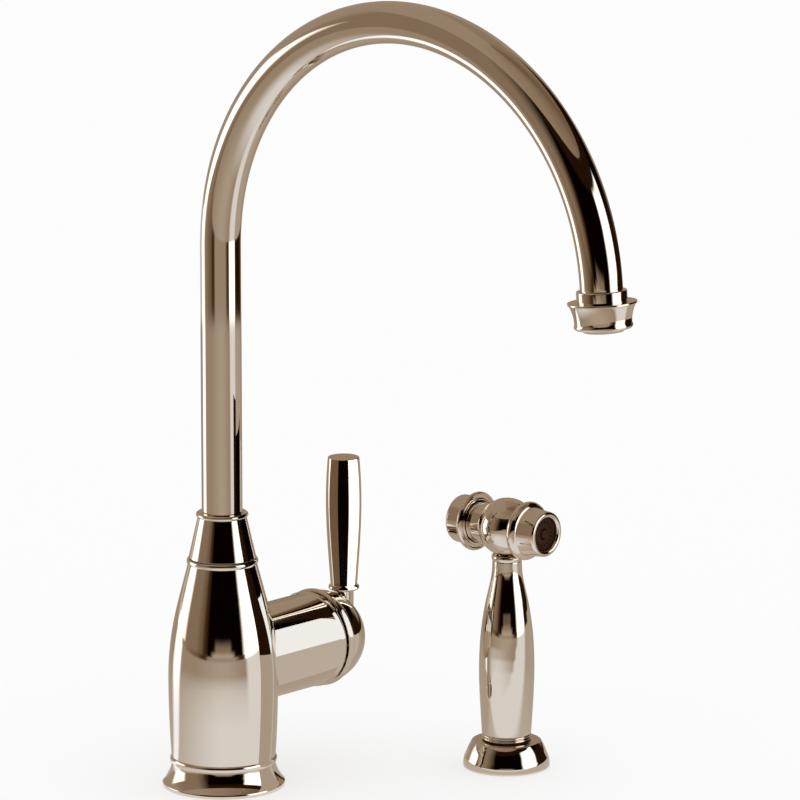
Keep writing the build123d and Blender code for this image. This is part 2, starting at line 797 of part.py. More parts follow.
# ================================================================ faucet: lever
with BuildPart() as lever_cap:
    dome_foot = sqrt(cap_dome_radius**2 - (cap_rim_end - cap_dome_center) ** 2)
    dome_tip = cap_dome_center + cap_dome_radius
    dome_slope = radians(45)
    with BuildSketch(barrel):
        with BuildLine():
            rim = ThreePointArc(
                (cap_rim_start, dome_foot - 0.3),
                (cap_rim_start + cap_rim_length / 2, cap_rim_radius),
                (cap_rim_end, dome_foot),
            )
            dome = ThreePointArc(
                rim @ 1,
                (
                    cap_dome_center + cap_dome_radius * cos(dome_slope),
                    cap_dome_radius * sin(dome_slope),
                ),
                (dome_tip, 0),
            )
            inside = ThreePointArc(
                (cap_inside_tip, 0),
                (
                    cap_dome_center + cap_dome_inside * cos(dome_slope),
                    cap_dome_inside * sin(dome_slope),
                ),
                (cap_dome_center, cap_dome_inside),
            )
            Line(dome @ 1, inside @ 0)
            Polyline(inside @ 1, (cap_rim_start, dome_foot - 0.6), rim @ 0)
        make_face()
    revolve(axis=barrel_axis)
    rod(barrel_cut(cap_hub_start), cap_hub_radius, cap_hub_length)
    # boss from which the stem rises
    stem_seat = level(barrel_height).shift_origin((stem_reach, 0, barrel_height))
    rod(stem_seat, stem_boss_radius, stem_rise + stem_boss_lap)
    rod(stem_seat.offset(stem_rise - slip), stem_radius + slip, cap_dome_radius, Mode.SUBTRACT)
    with BuildSketch(barrel_cut(cap_rim_start)):
        Rectangle(spindle_side + 2 * slip, spindle_side + 2 * slip)
    extrude(amount=spindle_end + 0.2 - cap_rim_start, mode=Mode.SUBTRACT)
    # access hole of the grub screw, underneath
    screw_seat = Plane(
        origin=(cap_screw_reach, 0, barrel_height), x_dir=(1, 0, 0), z_dir=(0, 0, -1)
    )
    rod(screw_seat, cap_screw_radius + slip, cap_dome_radius, Mode.SUBTRACT)
save(lever_cap, "lever_cap")

with BuildPart() as lever_grub_screw:
    rod(screw_seat.offset(spindle_side / 2 + slip), cap_screw_radius, cap_screw_length)
    with BuildSketch(screw_seat.offset(spindle_side / 2 + slip + cap_screw_length)):
        RegularPolygon(cap_screw_radius / 2, 6, major_radius=False)
    extrude(amount=-cap_screw_length / 2, mode=Mode.SUBTRACT)
save(lever_grub_screw, "lever_grub_screw")

with BuildPart() as lever_stem:
    rod(stem_seat.offset(stem_rise), stem_radius, handle_rise + handle_socket - stem_rise)
save(lever_stem, "lever_stem")

with BuildPart() as lever_handle:
    with BuildSketch(lever):
        with BuildLine():
            foot = Line((0, handle_foot), (handle_neck_radius - 0.8, handle_foot))
            bead = ThreePointArc(
                foot @ 1,
                (handle_bead_radius, handle_foot + handle_bead_height / 2),
                (handle_neck_radius, handle_foot + handle_bead_height),
            )
            grip = Spline(
                bead @ 1,
                (handle_belly_radius, handle_foot + handle_belly_rise),
                (handle_top_radius, handle_top - 0.6),
                tangents=((0.07, 1), (-0.1, 1)),
            )
            Polyline(grip @ 1, (handle_top_radius - 0.6, handle_top), (0, handle_top), foot @ 0)
        make_face()
    revolve(axis=lever_axis)
    rod(stem_seat.offset(handle_rise), stem_radius + slip, handle_socket + slip, Mode.SUBTRACT)
save(lever_handle, "lever_handle")

# ================================================================ faucet: spout
with BuildPart() as swivel_spigot:
    rod(level(swivel_bottom), swivel_radius, swivel_top - swivel_bottom)
    rod(level(swivel_bottom), swivel_bore, swivel_top - swivel_bottom, Mode.SUBTRACT)
    rod(level(tube_bottom - slip), tube_radius + slip, swivel_top - tube_bottom + 1, Mode.SUBTRACT)
    for height in o_ring_heights:
        turned(
            column,
            Axis.Z,
            (o_ring_depth, height - o_ring_section / 2 - 0.1),
            (swivel_radius + 1, height - o_ring_section / 2 - 0.1),
            (swivel_radius + 1, height + o_ring_section / 2 + 0.1),
            (o_ring_depth, height + o_ring_section / 2 + 0.1),
            mode=Mode.SUBTRACT,
        )
    turned(
        column,
        Axis.Z,
        (swivel_groove_radius, swivel_groove_center - swivel_groove_height / 2),
        (swivel_radius + 1, swivel_groove_center - swivel_groove_height / 2),
        (swivel_radius + 1, swivel_groove_center + swivel_groove_height / 2),
        (swivel_groove_radius, swivel_groove_center + swivel_groove_height / 2),
        mode=Mode.SUBTRACT,
    )
save(swivel_spigot, "swivel_spigot")

with BuildPart() as spout_o_rings:
    for height in o_ring_heights:
        turned(
            column,
            Axis.Z,
            (o_ring_depth + slip, height - o_ring_section / 2),
            (swivel_radius - 0.5, height - o_ring_section / 2),
            (swivel_radius, height - o_ring_section / 4),
            (swivel_radius, height + o_ring_section / 4),
            (swivel_radius - 0.5, height + o_ring_section / 2),
            (o_ring_depth + slip, height + o_ring_section / 2),
        )
save(spout_o_rings, "spout_o_rings")

with BuildPart() as glide_ring:
    tube(level(glide_ring_bottom), swivel_radius + gap, glide_ring_radius, glide_ring_thickness)
save(glide_ring, "glide_ring")

with BuildPart() as spout_set_screw:
    set_screw_tip = set_screw_plane.offset(gap)
    rod(set_screw_tip, set_screw_radius, set_screw_length)
    with BuildSketch(set_screw_tip.offset(set_screw_length)):
        RegularPolygon(set_screw_radius / 2, 6, major_radius=False)
    extrude(amount=-set_screw_radius, mode=Mode.SUBTRACT)
save(spout_set_screw, "spout_set_screw")

with BuildPart() as neck_cone:
    turned(
        column,
        Axis.Z,
        (swivel_radius + slip, cone_foot),
        (cone_foot_radius, cone_foot),
        (cone_top_radius, cone_top),
        (tube_radius + slip, cone_top),
        (tube_radius + slip, swivel_top + slip),
        (swivel_radius + slip, swivel_top + slip),
    )
save(neck_cone, "neck_cone")

with BuildPart() as neck_collar:
    with BuildSketch(column):
        with BuildLine():
            edge = ThreePointArc(
                (collar_radius - 0.7, cone_top),
                (collar_radius, cone_top + collar_thickness / 2),
                (collar_radius - 0.7, collar_top),
            )
            Polyline(
                edge @ 1,
                (collar_radius - 1.6, collar_top - 0.3),
                (tube_radius + slip, collar_top - 0.3),
                (tube_radius + slip, cone_top),
                edge @ 0,
            )
        make_face()
    revolve(axis=Axis.Z)
save(neck_collar, "neck_collar")

with BuildPart() as spout_tube:
    with BuildLine() as spout_path:
        rise = Line((0, 0, tube_bottom), (0, 0, arch_start))
        arch = ThreePointArc(
            rise @ 1,
            (0, -arch_radius, arch_start + arch_radius),
            outlet_start,
        )
        Line(arch @ 1, outlet_start + outlet_direction * tube_end_run)
    with BuildSketch(level(tube_bottom)):
        Circle(tube_radius)
        Circle(tube_radius - tube_wall, mode=Mode.SUBTRACT)
    sweep()
save(spout_tube, "spout_tube")

with BuildPart() as spout_ferrule:
    thread_end = cup_start + cup_thread_length
    turned(
        outlet,
        outlet_axis,
        (tube_radius + slip, ferrule_start),
        (ferrule_radius - 0.8, ferrule_start),
        (ferrule_radius, ferrule_start + 0.8),
        (ferrule_radius, cup_start),
        (cup_thread_radius, cup_start),
        (cup_thread_radius, thread_end),
        (tube_radius - tube_wall, thread_end),
        (tube_radius - tube_wall, tube_end_run + slip),
        (tube_radius + slip, tube_end_run + slip),
    )
save(spout_ferrule, "spout_ferrule")

with BuildPart() as aerator_housing:
    cup_end = cup_start + cup_height
    rim_bottom = cup_start + cup_rim_thickness
    bead_top = cup_end - cup_bead_height
    with BuildSketch(outlet):
        with BuildLine():
            rim = Polyline(
                (cup_thread_radius + slip, cup_start),
                (cup_rim_radius - 0.4, cup_start),
                (cup_rim_radius, cup_start + 0.4),
                (cup_rim_radius, rim_bottom),
                (cup_rim_radius - 0.6, rim_bottom + 0.5),
            )
            waist = TangentArc(
                (cup_waist_radius, bead_top),
                rim @ 1,
                tangent=(0.02, -1),
            )
            bead = ThreePointArc(
                waist @ 0,
                (cup_waist_radius + cup_bead_bulge, bead_top + cup_bead_height / 2),
                (cup_waist_radius - 0.5, cup_end),
            )
            Polyline(
                bead @ 1,
                (cup_lip_radius, cup_end),
                (cup_lip_radius, cup_end - cup_lip_height),
                (aerator_radius + slip, cup_end - cup_lip_height),
                (aerator_radius + slip, thread_end + slip),
                (cup_thread_radius + slip, thread_end + slip),
                rim @ 0,
            )
        make_face()
    revolve(axis=outlet_axis)
save(aerator_housing, "aerator_housing")

with BuildPart() as aerator_washer:
    washer_start = thread_end + 2 * slip
    tube(outlet_cut(washer_start), swivel_bore, aerator_radius, washer_thickness)
save(aerator_washer, "aerator_washer")

with BuildPart() as aerator_insert:
    insert_start = washer_start + washer_thickness
    insert_shoulder = cup_end - cup_lip_height
    nose_length = cup_lip_height + aerator_stand_out
    rod(outlet_cut(insert_start), aerator_radius, insert_shoulder - insert_start)
    rod(outlet_cut(insert_shoulder), aerator_nose_radius, nose_length)
    chamfer(
        aerator_insert.edges().filter_by(GeomType.CIRCLE).sort_by(outlet_axis)[-1],
        0.8,
    )
    with BuildSketch(outlet_cut(insert_start)):
        with PolarLocations(aerator_jet_ring, aerator_jets):
            Circle(aerator_jet_radius)
    extrude(amount=insert_shoulder + nose_length - insert_start, mode=Mode.SUBTRACT)
save(aerator_insert, "aerator_insert")

# ================================================================ side spray: holder
with BuildPart() as spray_holder:
    with BuildSketch(spray):
        with BuildLine():
            foot = Polyline(
                (holder_bore, 0),
                (holder_radius - 0.3, 0),
                (holder_radius, 1),
            )
            dome = ThreePointArc(
                foot @ 1,
                (holder_belly_radius, holder_belly_height),
                (holder_shoulder_radius, holder_height - 0.4),
            )
            Polyline(
                dome @ 1,
                (holder_shoulder_radius - 0.5, holder_height),
                (bush_flange_radius + slip, holder_height),
                (bush_flange_radius + slip, bush_seat),
                (holder_bore, bush_seat),
                foot @ 0,
            )
        make_face()
    revolve(axis=spray_axis)
    tube(
        spray_level(holder_tail_bottom),
        holder_bore,
        holder_tail_radius,
        -holder_tail_bottom,
    )
    with BuildSketch(spray_level(0)):
        Circle(holder_radius - seal_margin)
        Circle(holder_tail_radius + seal_margin, mode=Mode.SUBTRACT)
    extrude(amount=seal_thickness, mode=Mode.SUBTRACT)
save(spray_holder, "spray_holder")

with BuildPart() as spray_holder_seal:
    tube(
        spray_level(0),
        holder_tail_radius + seal_margin + slip,
        holder_radius - seal_margin - slip,
        seal_thickness,
    )
save(spray_holder_seal, "spray_holder_seal")

with BuildPart() as spray_guide_bush:
    tube(spray_level(-bush_drop), bush_bore, bush_radius, bush_top + bush_drop)
    tube(spray_level(bush_seat), bush_bore, bush_flange_radius, bush_flange_thickness)
save(spray_guide_bush, "spray_guide_bush")

with BuildPart() as spray_holder_washer:
    tube(
        spray_level(rubber_bottom),
        holder_tail_radius + gap,
        holder_tail_radius + gap + holder_washer_width,
        rubber_washer_thickness,
    )
save(spray_holder_washer, "spray_holder_washer")

with BuildPart() as spray_holder_nut:
    hex_nut(
        spray_level(holder_nut_bottom),
        2 * (holder_tail_radius + holder_nut_width),
        holder_tail_radius + slip,
        holder_nut_height,
    )
save(spray_holder_nut, "spray_holder_nut")

# ================================================================ side spray: handle
with BuildPart() as spray_hose_tail:
    hose_end = -tail_drop - hose_thread_length
    rod(spray_level(hose_end), hose_thread_radius, hose_thread_length)
    rod(spray_level(-tail_drop), tail_radius, foot_ring_bottom + tail_drop)
    rod(spray_level(foot_ring_bottom), tail_thread_radius, tail_thread_length)
    rod(
        spray_level(hose_end),
        tail_bore,
        foot_ring_bottom + tail_thread_length - hose_end,
        Mode.SUBTRACT,
    )
save(spray_hose_tail, "spray_hose_tail")

with BuildPart() as spray_foot_ring:
    with BuildSketch(spray):
        with BuildLine():
            groove_height = foot_ring_bottom + foot_ring_height / 2
            lower = ThreePointArc(
                (grip_foot_radius - 0.5, foot_ring_bottom),
                (grip_foot_radius, foot_ring_bottom + foot_ring_height / 4),
                (grip_foot_radius - 0.5, groove_height),
            )
            upper = ThreePointArc(
                lower @ 1,
                (grip_foot_radius, groove_height + foot_ring_height / 4),
                (grip_foot_radius - 0.5, grip_bottom),
            )
            Polyline(
                upper @ 1,
                (tail_thread_radius + slip, grip_bottom),
                (tail_thread_radius + slip, foot_ring_bottom),
                lower @ 0,
            )
        make_face()
    revolve(axis=spray_axis)
save(spray_foot_ring, "spray_foot_ring")

with BuildPart() as spray_handle:
    with BuildSketch(spray):
        with BuildLine():
            grip = Spline(
                (grip_foot_radius, grip_bottom + 0.3),
                (grip_belly_radius, grip_bottom + grip_belly_rise),
                (grip_waist_radius, grip_bottom + grip_waist_rise),
                (grip_neck_radius, grip_top - 1),
                tangents=((0.06, 1), (0, 1)),
            )
            Polyline(
                grip @ 1,
                (grip_neck_radius, grip_top),
                (grip_bore, grip_top),
                (grip_bore, grip_bottom),
                (grip_foot_radius - 0.3, grip_bottom),
                grip @ 0,
            )
        make_face()
    revolve(axis=spray_axis)
    rod(
        spray_level(grip_bottom),
        tail_thread_radius + slip,
        tail_thread_length - foot_ring_height + 0.2,
        Mode.SUBTRACT,
    )
    rod(
        spray_level(grip_top - grip_socket),
        head_spigot_radius + slip,
        grip_socket,
        Mode.SUBTRACT,
    )
save(spray_handle, "spray_handle")

with BuildPart() as spray_neck_ring:
    with BuildSketch(spray):
        with BuildLine():
            edge = ThreePointArc(
                (neck_ring_radius - 0.5, grip_top),
                (neck_ring_radius, grip_top + neck_ring_height / 2),
                (neck_ring_radius - 0.5, grip_top + neck_ring_height),
            )
            Polyline(
                edge @ 1,
                (head_spigot_radius + slip, grip_top + neck_ring_height),
                (head_spigot_radius + slip, grip_top),
                edge @ 0,
            )
        make_face()
    revolve(axis=spray_axis)
save(spray_neck_ring, "spray_neck_ring")

# ================================================================ side spray: head
with BuildPart() as spray_head:
    with BuildSketch(head):
        with BuildLine():
            ball = ThreePointArc(
                (-ball_half, head_barrel_radius),
                (0, ball_radius),
                (ball_half, head_barrel_radius),
            )
            Polyline(
                ball @ 1,
                (head_front, head_barrel_radius),
                (head_front, 0),
                (-head_back, 0),
                (-head_back, head_barrel_radius - 0.6),
                (0.6 - head_back, head_barrel_radius),
                ball @ 0,
            )
        make_face()
    revolve(axis=head_axis)
    rod(spray_level(head_spigot_end), head_spigot_radius, head_height - ball_radius / 2 - head_spigot_end)
    rod(spray_level(head_spigot_end), way_radius, head_height - head_spigot_end, Mode.SUBTRACT)
    turned(
        spray,
        spray_axis,
        (head_spigot_radius - neck_groove_depth, neck_groove),
        (head_spigot_radius + 1, neck_groove),
        (head_spigot_radius + 1, neck_groove + neck_groove_height),
        (head_spigot_radius - neck_groove_depth, neck_groove + neck_groove_height),
        mode=Mode.SUBTRACT,
    )
    rod(head_cut(-head_back), valve_stem_radius + gap, head_back + head_front, Mode.SUBTRACT)
    rod(head_cut(valve_seat), valve_chamber_radius, head_front - valve_seat, Mode.SUBTRACT)
save(spray_head, "spray_head")

with BuildPart() as spray_neck_o_ring:
    tube(
        spray_level(neck_groove + 0.1),
        head_spigot_radius - neck_groove_depth + slip,
        head_spigot_radius,
        neck_groove_height - 0.2,
    )
save(spray_neck_o_ring, "spray_neck_o_ring")

with BuildPart() as spray_nozzle_ring:
    with BuildSketch(head):
        with BuildLine():
            bulge = ThreePointArc(
                (nozzle_ring_start, nozzle_ring_radius - 1.4),
                (nozzle_ring_start + nozzle_ring_length * 0.45, nozzle_ring_radius),
                (nozzle_start - 0.6, nozzle_ring_radius - 1.6),
            )
            Polyline(
                bulge @ 1,
                (nozzle_start, nozzle_back_radius),
                (nozzle_start, head_barrel_radius + slip),
                (nozzle_ring_start, head_barrel_radius + slip),
                bulge @ 0,
            )
        make_face()
    revolve(axis=head_axis)
save(spray_nozzle_ring, "spray_nozzle_ring")

with BuildPart() as spray_nozzle:
    rim_start = nozzle_front - nozzle_rim_rounding
    with BuildSketch(head):
        with BuildLine():
            wall = TangentArc(
                (rim_start - 1.5, nozzle_front_radius),
                (nozzle_start, nozzle_back_radius),
                tangent=(-1, 0),
            )
            rim = ThreePointArc(
                (rim_start, nozzle_front_radius),
                (rim_start + 0.85, nozzle_front_radius - 0.35),
                (nozzle_front, nozzle_front_radius - nozzle_rim_rounding),
            )
            Line(wall @ 0, rim @ 0)
            Polyline(
                rim @ 1,
                (nozzle_front, nozzle_mouth_radius + 0.3),
                (nozzle_front - 0.6, nozzle_mouth_radius),
                (head_front + slip, nozzle_mouth_radius),
                (head_front + slip, head_barrel_radius + slip),
                (nozzle_start, head_barrel_radius + slip),
                wall @ 1,
            )
        make_face()
    revolve(axis=head_axis)
save(spray_nozzle, "spray_nozzle")

with BuildPart() as spray_face:
    rod(head_cut(face_front - face_thickness), face_radius, face_thickness)
    rod(head_cut(face_front), face_button_radius, face_button_height)
    with BuildSketch(head_cut(face_front)):
        with PolarLocations(face_jet_ring, face_jets):
            Circle(face_jet_radius)
    extrude(amount=-face_thickness, mode=Mode.SUBTRACT)
save(spray_face, "spray_face")

with BuildPart() as spray_face_seal:
    seal_start = head_front + 2 * slip
    tube(
        head_cut(seal_start),
        valve_chamber_radius,
        nozzle_mouth_radius - slip,
        face_front - face_thickness - seal_start,
    )
save(spray_face_seal, "spray_face_seal")

# ================================================================ side spray: push button
with BuildPart() as spray_button:
    flange_back = button_face + button_flange_length
    with BuildSketch(head):
        with BuildLine():
            flange_edge_arc = ThreePointArc(
                (-button_face, button_flange_radius - 0.8),
                (-button_face - button_flange_length / 2, button_flange_radius),
                (-flange_back, button_flange_radius - 1.2),
            )
            step = Polyline(
                flange_edge_arc @ 1,
                (-flange_back - 0.2, button_cap_radius),
                (button_rounding - button_back, button_cap_radius - 0.2),
            )
            rounding = TangentArc(
                step @ 1,
                (-button_back, button_cap_radius - 0.2 - button_rounding),
                tangent=(-1, 0),
            )
            Polyline(
                rounding @ 1,
                (-button_back, 0),
                (-button_floor, 0),
                (-button_floor, button_bore),
                (-button_face, button_bore),
                (-button_face, button_bore + 0.6),
                (-button_face - 1, button_bore + 0.8),
                (-button_face - 1, button_flange_radius - 1.8),
                (-button_face, button_flange_radius - 1.5),
                flange_edge_arc @ 0,
            )
        make_face()
    revolve(axis=head_axis)
save(spray_button, "spray_button")

with BuildPart() as spray_valve_stem:
    disc_start = valve_seat + gap
    rod(head_cut(-button_floor), valve_stem_radius, button_floor + disc_start + valve_stem_end)
save(spray_valve_stem, "spray_valve_stem")

with BuildPart() as spray_valve_disc:
    tube(
        head_cut(disc_start),
        valve_stem_radius + slip,
        valve_disc_radius,
        valve_disc_thickness,
    )
save(spray_valve_disc, "spray_valve_disc")

# The return spring is drawn at the length it has with the button pressed.
with BuildPart() as spray_return_spring:
    spring_length = button_floor - head_back - button_stroke - 2 * gap
    tube(
        head_cut(-button_floor + slip),
        spring_radius - spring_wire,
        spring_radius,
        spring_length,
    )
save(spray_return_spring, "spray_return_spring")
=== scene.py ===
"""Side spray kitchen faucet: detailed pieces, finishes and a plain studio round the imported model."""
import json
from math import atan2, cos, hypot, pi, radians, sin
from types import SimpleNamespace

import bmesh
import bpy
from bpy.props import FloatProperty, FloatVectorProperty, IntProperty, PointerProperty
from mathutils import Matrix, Vector


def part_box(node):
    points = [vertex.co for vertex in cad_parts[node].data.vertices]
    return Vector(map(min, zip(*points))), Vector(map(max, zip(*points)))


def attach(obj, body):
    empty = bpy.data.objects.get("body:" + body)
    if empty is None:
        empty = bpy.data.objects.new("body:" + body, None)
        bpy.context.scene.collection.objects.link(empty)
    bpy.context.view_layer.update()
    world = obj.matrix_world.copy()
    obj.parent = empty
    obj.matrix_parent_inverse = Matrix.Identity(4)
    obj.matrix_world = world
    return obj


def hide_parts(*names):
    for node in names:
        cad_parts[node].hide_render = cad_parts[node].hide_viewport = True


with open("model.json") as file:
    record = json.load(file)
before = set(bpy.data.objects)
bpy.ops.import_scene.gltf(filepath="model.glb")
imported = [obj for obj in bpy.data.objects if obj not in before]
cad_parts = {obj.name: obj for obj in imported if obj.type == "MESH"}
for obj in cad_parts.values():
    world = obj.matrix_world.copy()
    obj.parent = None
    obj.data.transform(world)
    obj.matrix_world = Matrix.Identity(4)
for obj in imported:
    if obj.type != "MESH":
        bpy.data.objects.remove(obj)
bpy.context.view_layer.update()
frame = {"nodes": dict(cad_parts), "record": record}

bl_info = {
    "name": "Side Spray Kitchen Faucet",
    "version": (1, 0, 0),
    "blender": (4, 5, 0),
    "location": "3D View > Sidebar > Faucet",
    "description": "Turned and bent faucet pieces, their plated finishes and a plain studio",
    "category": "Object",
}

MM = 1000                    # millimetres in a metre
BODY_OF = {node: body for body, nodes in frame["record"]["behaviour"]["bodies"].items() for node in nodes}
SLOT_OF = {part["node"]: part["material_slot"] for part in frame["record"]["subparts"]}


# ------------------------------------------------------------------ places, in millimetres
def low(node):
    """Lowest corner of a CAD node."""
    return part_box(node)[0] * MM


def high(node):
    """Highest corner of a CAD node."""
    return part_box(node)[1] * MM


def middle(node):
    """Centre of a CAD node."""
    return (low(node) + high(node)) / 2


def levels(node):
    """Foot and top of an upright CAD node."""
    return low(node).z, high(node).z


def line_up(origin, direction=(0, 0, 1)):
    """Matrix that lays a turned shape's own axis, local Z, on a line of the frame."""
    turn = Vector(direction).to_track_quat("Z", "X").to_matrix().to_4x4()
    return Matrix.Translation(origin) @ turn


COLUMN = line_up((0, 0, 0))
BARREL_HEIGHT = middle("bonnet_nut").z
BARREL = line_up((0, 0, BARREL_HEIGHT), (1, 0, 0))
STEM = line_up((middle("lever_stem").x, 0, 0))
SPRAY_X, SPRAY_Y = middle("spray_handle").x, middle("spray_handle").y
SPRAY = line_up((SPRAY_X, SPRAY_Y, 0))
HEAD_HEIGHT = middle("spray_nozzle_ring").z
HEAD = line_up((SPRAY_X, SPRAY_Y, HEAD_HEIGHT), (0, -1, 0))
PORT = line_up((middle("spray_outlet_nipple").x, 0, 0))


def forward(node):
    """How far a node of the spray head reaches back and forward from the ball's centre."""
    return SPRAY_Y - high(node).y, SPRAY_Y - low(node).y


def sideways(node):
    """Radius of a round node of the spray."""
    return high(node).x - SPRAY_X


# ------------------------------------------------------------------ sizes and colours
def size(name, about, millimetres):
    """Length that a user may change."""
    return FloatProperty(name=name, description=about, default=millimetres / MM, min=0,
                         precision=5, unit="LENGTH", subtype="DISTANCE")


def angle(name, about, degrees):
    """Angle that a user may change."""
    return FloatProperty(name=name, description=about, default=radians(degrees), min=0, max=2 * pi,
                         subtype="ANGLE", unit="ROTATION")


def count(name, about, number, fewest, most):
    """Number of like pieces that a user may change."""
    return IntProperty(name=name, description=about, default=number, min=fewest, max=most)


def share(name, about, value, highest=1.0):
    """Plain number that a user may change."""
    return FloatProperty(name=name, description=about, default=value, min=0, max=highest, subtype="FACTOR")


def linear(code):
    """sRGB hex value as linear red, green and blue."""
    parts = [int(code[i:i + 2], 16) / 255 for i in (1, 3, 5)]
    return tuple(v / 12.92 if v <= 0.04045 else ((v + 0.055) / 1.055) ** 2.4 for v in parts)


def paint(name, about, code):
    """Colour that a user may change, from its sRGB hex value."""
    return FloatVectorProperty(name=name, description=about, default=linear(code), size=3,
                               min=0, max=1, subtype="COLOR")


class FaucetBodySizes(bpy.types.PropertyGroup):
    """Base flange, neck cone and collar."""

    flange_radius: size("Flange radius", "Radius of the base flange at the worktop", high("base_flange").x)
    flange_neck: size("Flange neck", "Radius of the flange where it meets the casting", 25.5)
    cove_top: size("Cove top", "Height of the flange's cove", 11.6)
    bead_bulge: size("Bead bulge", "How far the flange's bead stands out", 0.9)
    cone_foot: size("Cone foot", "Radius of the neck cone's foot", high("neck_cone").x)
    cone_top: size("Cone top", "Radius of the neck cone's top", 12.0)
    collar_radius: size("Collar radius", "Radius of the collar's rounded edge", high("neck_collar").x)
    edge_rounding: size("Edge rounding", "Rounding of the neck cone's edges", 0.25)


class FaucetSpoutSizes(bpy.types.PropertyGroup):
    """Bent tube, ferrule, aerator cup and nose."""

    tube_radius: size("Tube radius", "Outer radius of the spout tube", 10.0)
    tube_wall: size("Tube wall", "Wall thickness of the spout tube", 1.5)
    arch_radius: size("Arch radius", "Radius of the arch's centre line", 119.7)
    arch_turn: angle("Arch turn", "Angle through which the tube is bent", 175.5)
    rise: size("Rise", "Straight tube above the collar", 132.55)
    ferrule_radius: size("Ferrule radius", "Outer radius of the ferrule", 11.8)
    cup_rim: size("Cup rim", "Radius of the aerator cup's rim", 16.2)
    cup_waist: size("Cup waist", "Radius of the aerator cup's waist", 13.4)
    jet_radius: size("Aerator jet radius", "Radius of each hole in the aerator", 1.2)
    jet_count: count("Aerator jets", "Number of holes in the aerator", 8, 3, 16)


class FaucetLeverSizes(bpy.types.PropertyGroup):
    """Bonnet, stem and handle."""

    bonnet_bore: size("Bonnet bore", "Radius of the bonnet's opening", 14.5)
    bonnet_foot: size("Bonnet foot", "Radius of the bonnet's foot", high("bonnet_nut").y)
    stem_radius: size("Stem radius", "Radius of the lever's stem", high("lever_stem").y)
    bead_radius: size("Bead radius", "Radius of the bead at the handle's foot", 7.8)
    neck_radius: size("Neck radius", "Radius of the handle above the bead", 6.7)
    belly_radius: size("Belly radius", "Radius of the handle's belly", high("lever_handle").y)
    top_radius: size("Top radius", "Radius of the handle's top", 7.9)
    top_rounding: size("Top rounding", "Rounding of the handle's top edge", 0.6)


class FaucetSpraySizes(bpy.types.PropertyGroup):
    """Deck holder, grip, head and button of the side spray."""

    holder_radius: size("Holder radius", "Radius of the deck holder's foot", sideways("spray_holder"))
    shoulder_draw: size("Shoulder draw", "How much narrower the holder's shoulder is than its foot", 4.5)
    grip_foot: size("Grip foot", "Radius of the grip's foot", 12.3)
    grip_belly: size("Grip belly", "Radius of the grip's belly", sideways("spray_handle"))
    grip_neck: size("Grip neck", "Radius of the grip's neck", 7.3)
    ball_radius: size("Ball radius", "Radius of the head's ball", sideways("spray_head"))
    barrel_radius: size("Head barrel radius", "Radius of the barrels on both sides of the ball", 10.4)
    ring_radius: size("Ring radius", "Radius of the bead ring behind the nozzle",
                      sideways("spray_nozzle_ring"))
    nozzle_radius: size("Nozzle radius", "Radius of the nozzle's front", 11.3)
    mouth_radius: size("Mouth radius", "Radius of the nozzle's mouth", 8.3)
    button_radius: size("Button radius", "Radius of the push button's cap", 12.2)
    jet_radius: size("Spray jet radius", "Radius of each hole in the jet plate", 0.55)
    jet_count: count("Spray jets", "Number of holes in the jet plate", 18, 6, 30)


class FaucetFixingSizes(bpy.types.PropertyGroup):
    """Threads, nuts, washers and the spring."""

    thread_pitch: size("Thread pitch", "Distance between the crests of a pipe thread", 1.5)
    thread_depth: size("Thread depth", "Height of a thread's crest", 0.8)
    nut_chamfer: size("Nut chamfer", "Chamfer of the nuts' bores", 0.6)
    washer_rounding: size("Washer rounding", "Rounding of the washers' edges", 0.4)
    spring_wire: size("Spring wire", "Diameter of the return spring's wire", 1.2)
    spring_turns: share("Spring turns", "Turns of the return spring", 3.0, 12.0)


class FaucetFinishes(bpy.types.PropertyGroup):
    """Colours of the materials."""

    nickel: paint("Nickel", "Warm colour of the polished nickel plate", "#E2D6C7")
    brass: paint("Brass", "Bare turned brass", "#D8B470")
    steel: paint("Steel", "Stainless steel", "#C4C2BE")
    rubber: paint("Rubber", "Nitrile rubber", "#262423")
    acetal: paint("Acetal", "Natural moulded acetal", "#BFB1A1")
    ceramic: paint("Ceramic", "Lapped alumina ceramic", "#F1EEE6")
    brown_plastic: paint("Brown plastic", "Moulded dark brown plastic", "#3B2214")
    polish: share("Polish roughness", "Roughness of the polished nickel", 0.05)


class FaucetStudio(bpy.types.PropertyGroup):
    """Floor, cards and lens."""

    floor: paint("Floor", "Pale floor under the faucet's shadow", "#F9F9F9")
    backdrop: paint("Backdrop", "White that the camera and the mirror images see on the floor", "#FFFFFF")
    card_light: share("Card light", "Brightness of the cards, which only mirror images show", 2.0, 10.0)
    towards_camera: angle("Camera side", "Direction of the camera's side of the table", 223.2)
    lens: FloatProperty(name="Lens", description="Focal length of the camera", default=267.03, min=1,
                        unit="CAMERA")


def in_mm(group):
    """Lengths of a property group by name, in millimetres."""
    return SimpleNamespace(**{p.identifier: getattr(group, p.identifier) * MM
                              for p in group.bl_rna.properties if getattr(p, "unit", "") == "LENGTH"})


# ------------------------------------------------------------------ mesh tools
FLOW = "flow"                # marks a corner that blends smoothly into its neighbours
ARC_CORNER = 2.414           # how much farther out a rounded corner lies than the arc that replaces it
ALL_BUT = 0.999              # share of a side that a rounding may take, so that its ends stay apart
DOUBLE = 0.004               # mm, under which two vertices are one
LEVEL = 0.01                 # mm, within which a face lies in a band
HOLE_SHARE = 0.34            # half the share of its ring that a hole has before it is made round
HOLE_RIM = 0.08              # mm from that first outline to the rim
SHARP = radians(40)          # an edge that bends more keeps a hard shade


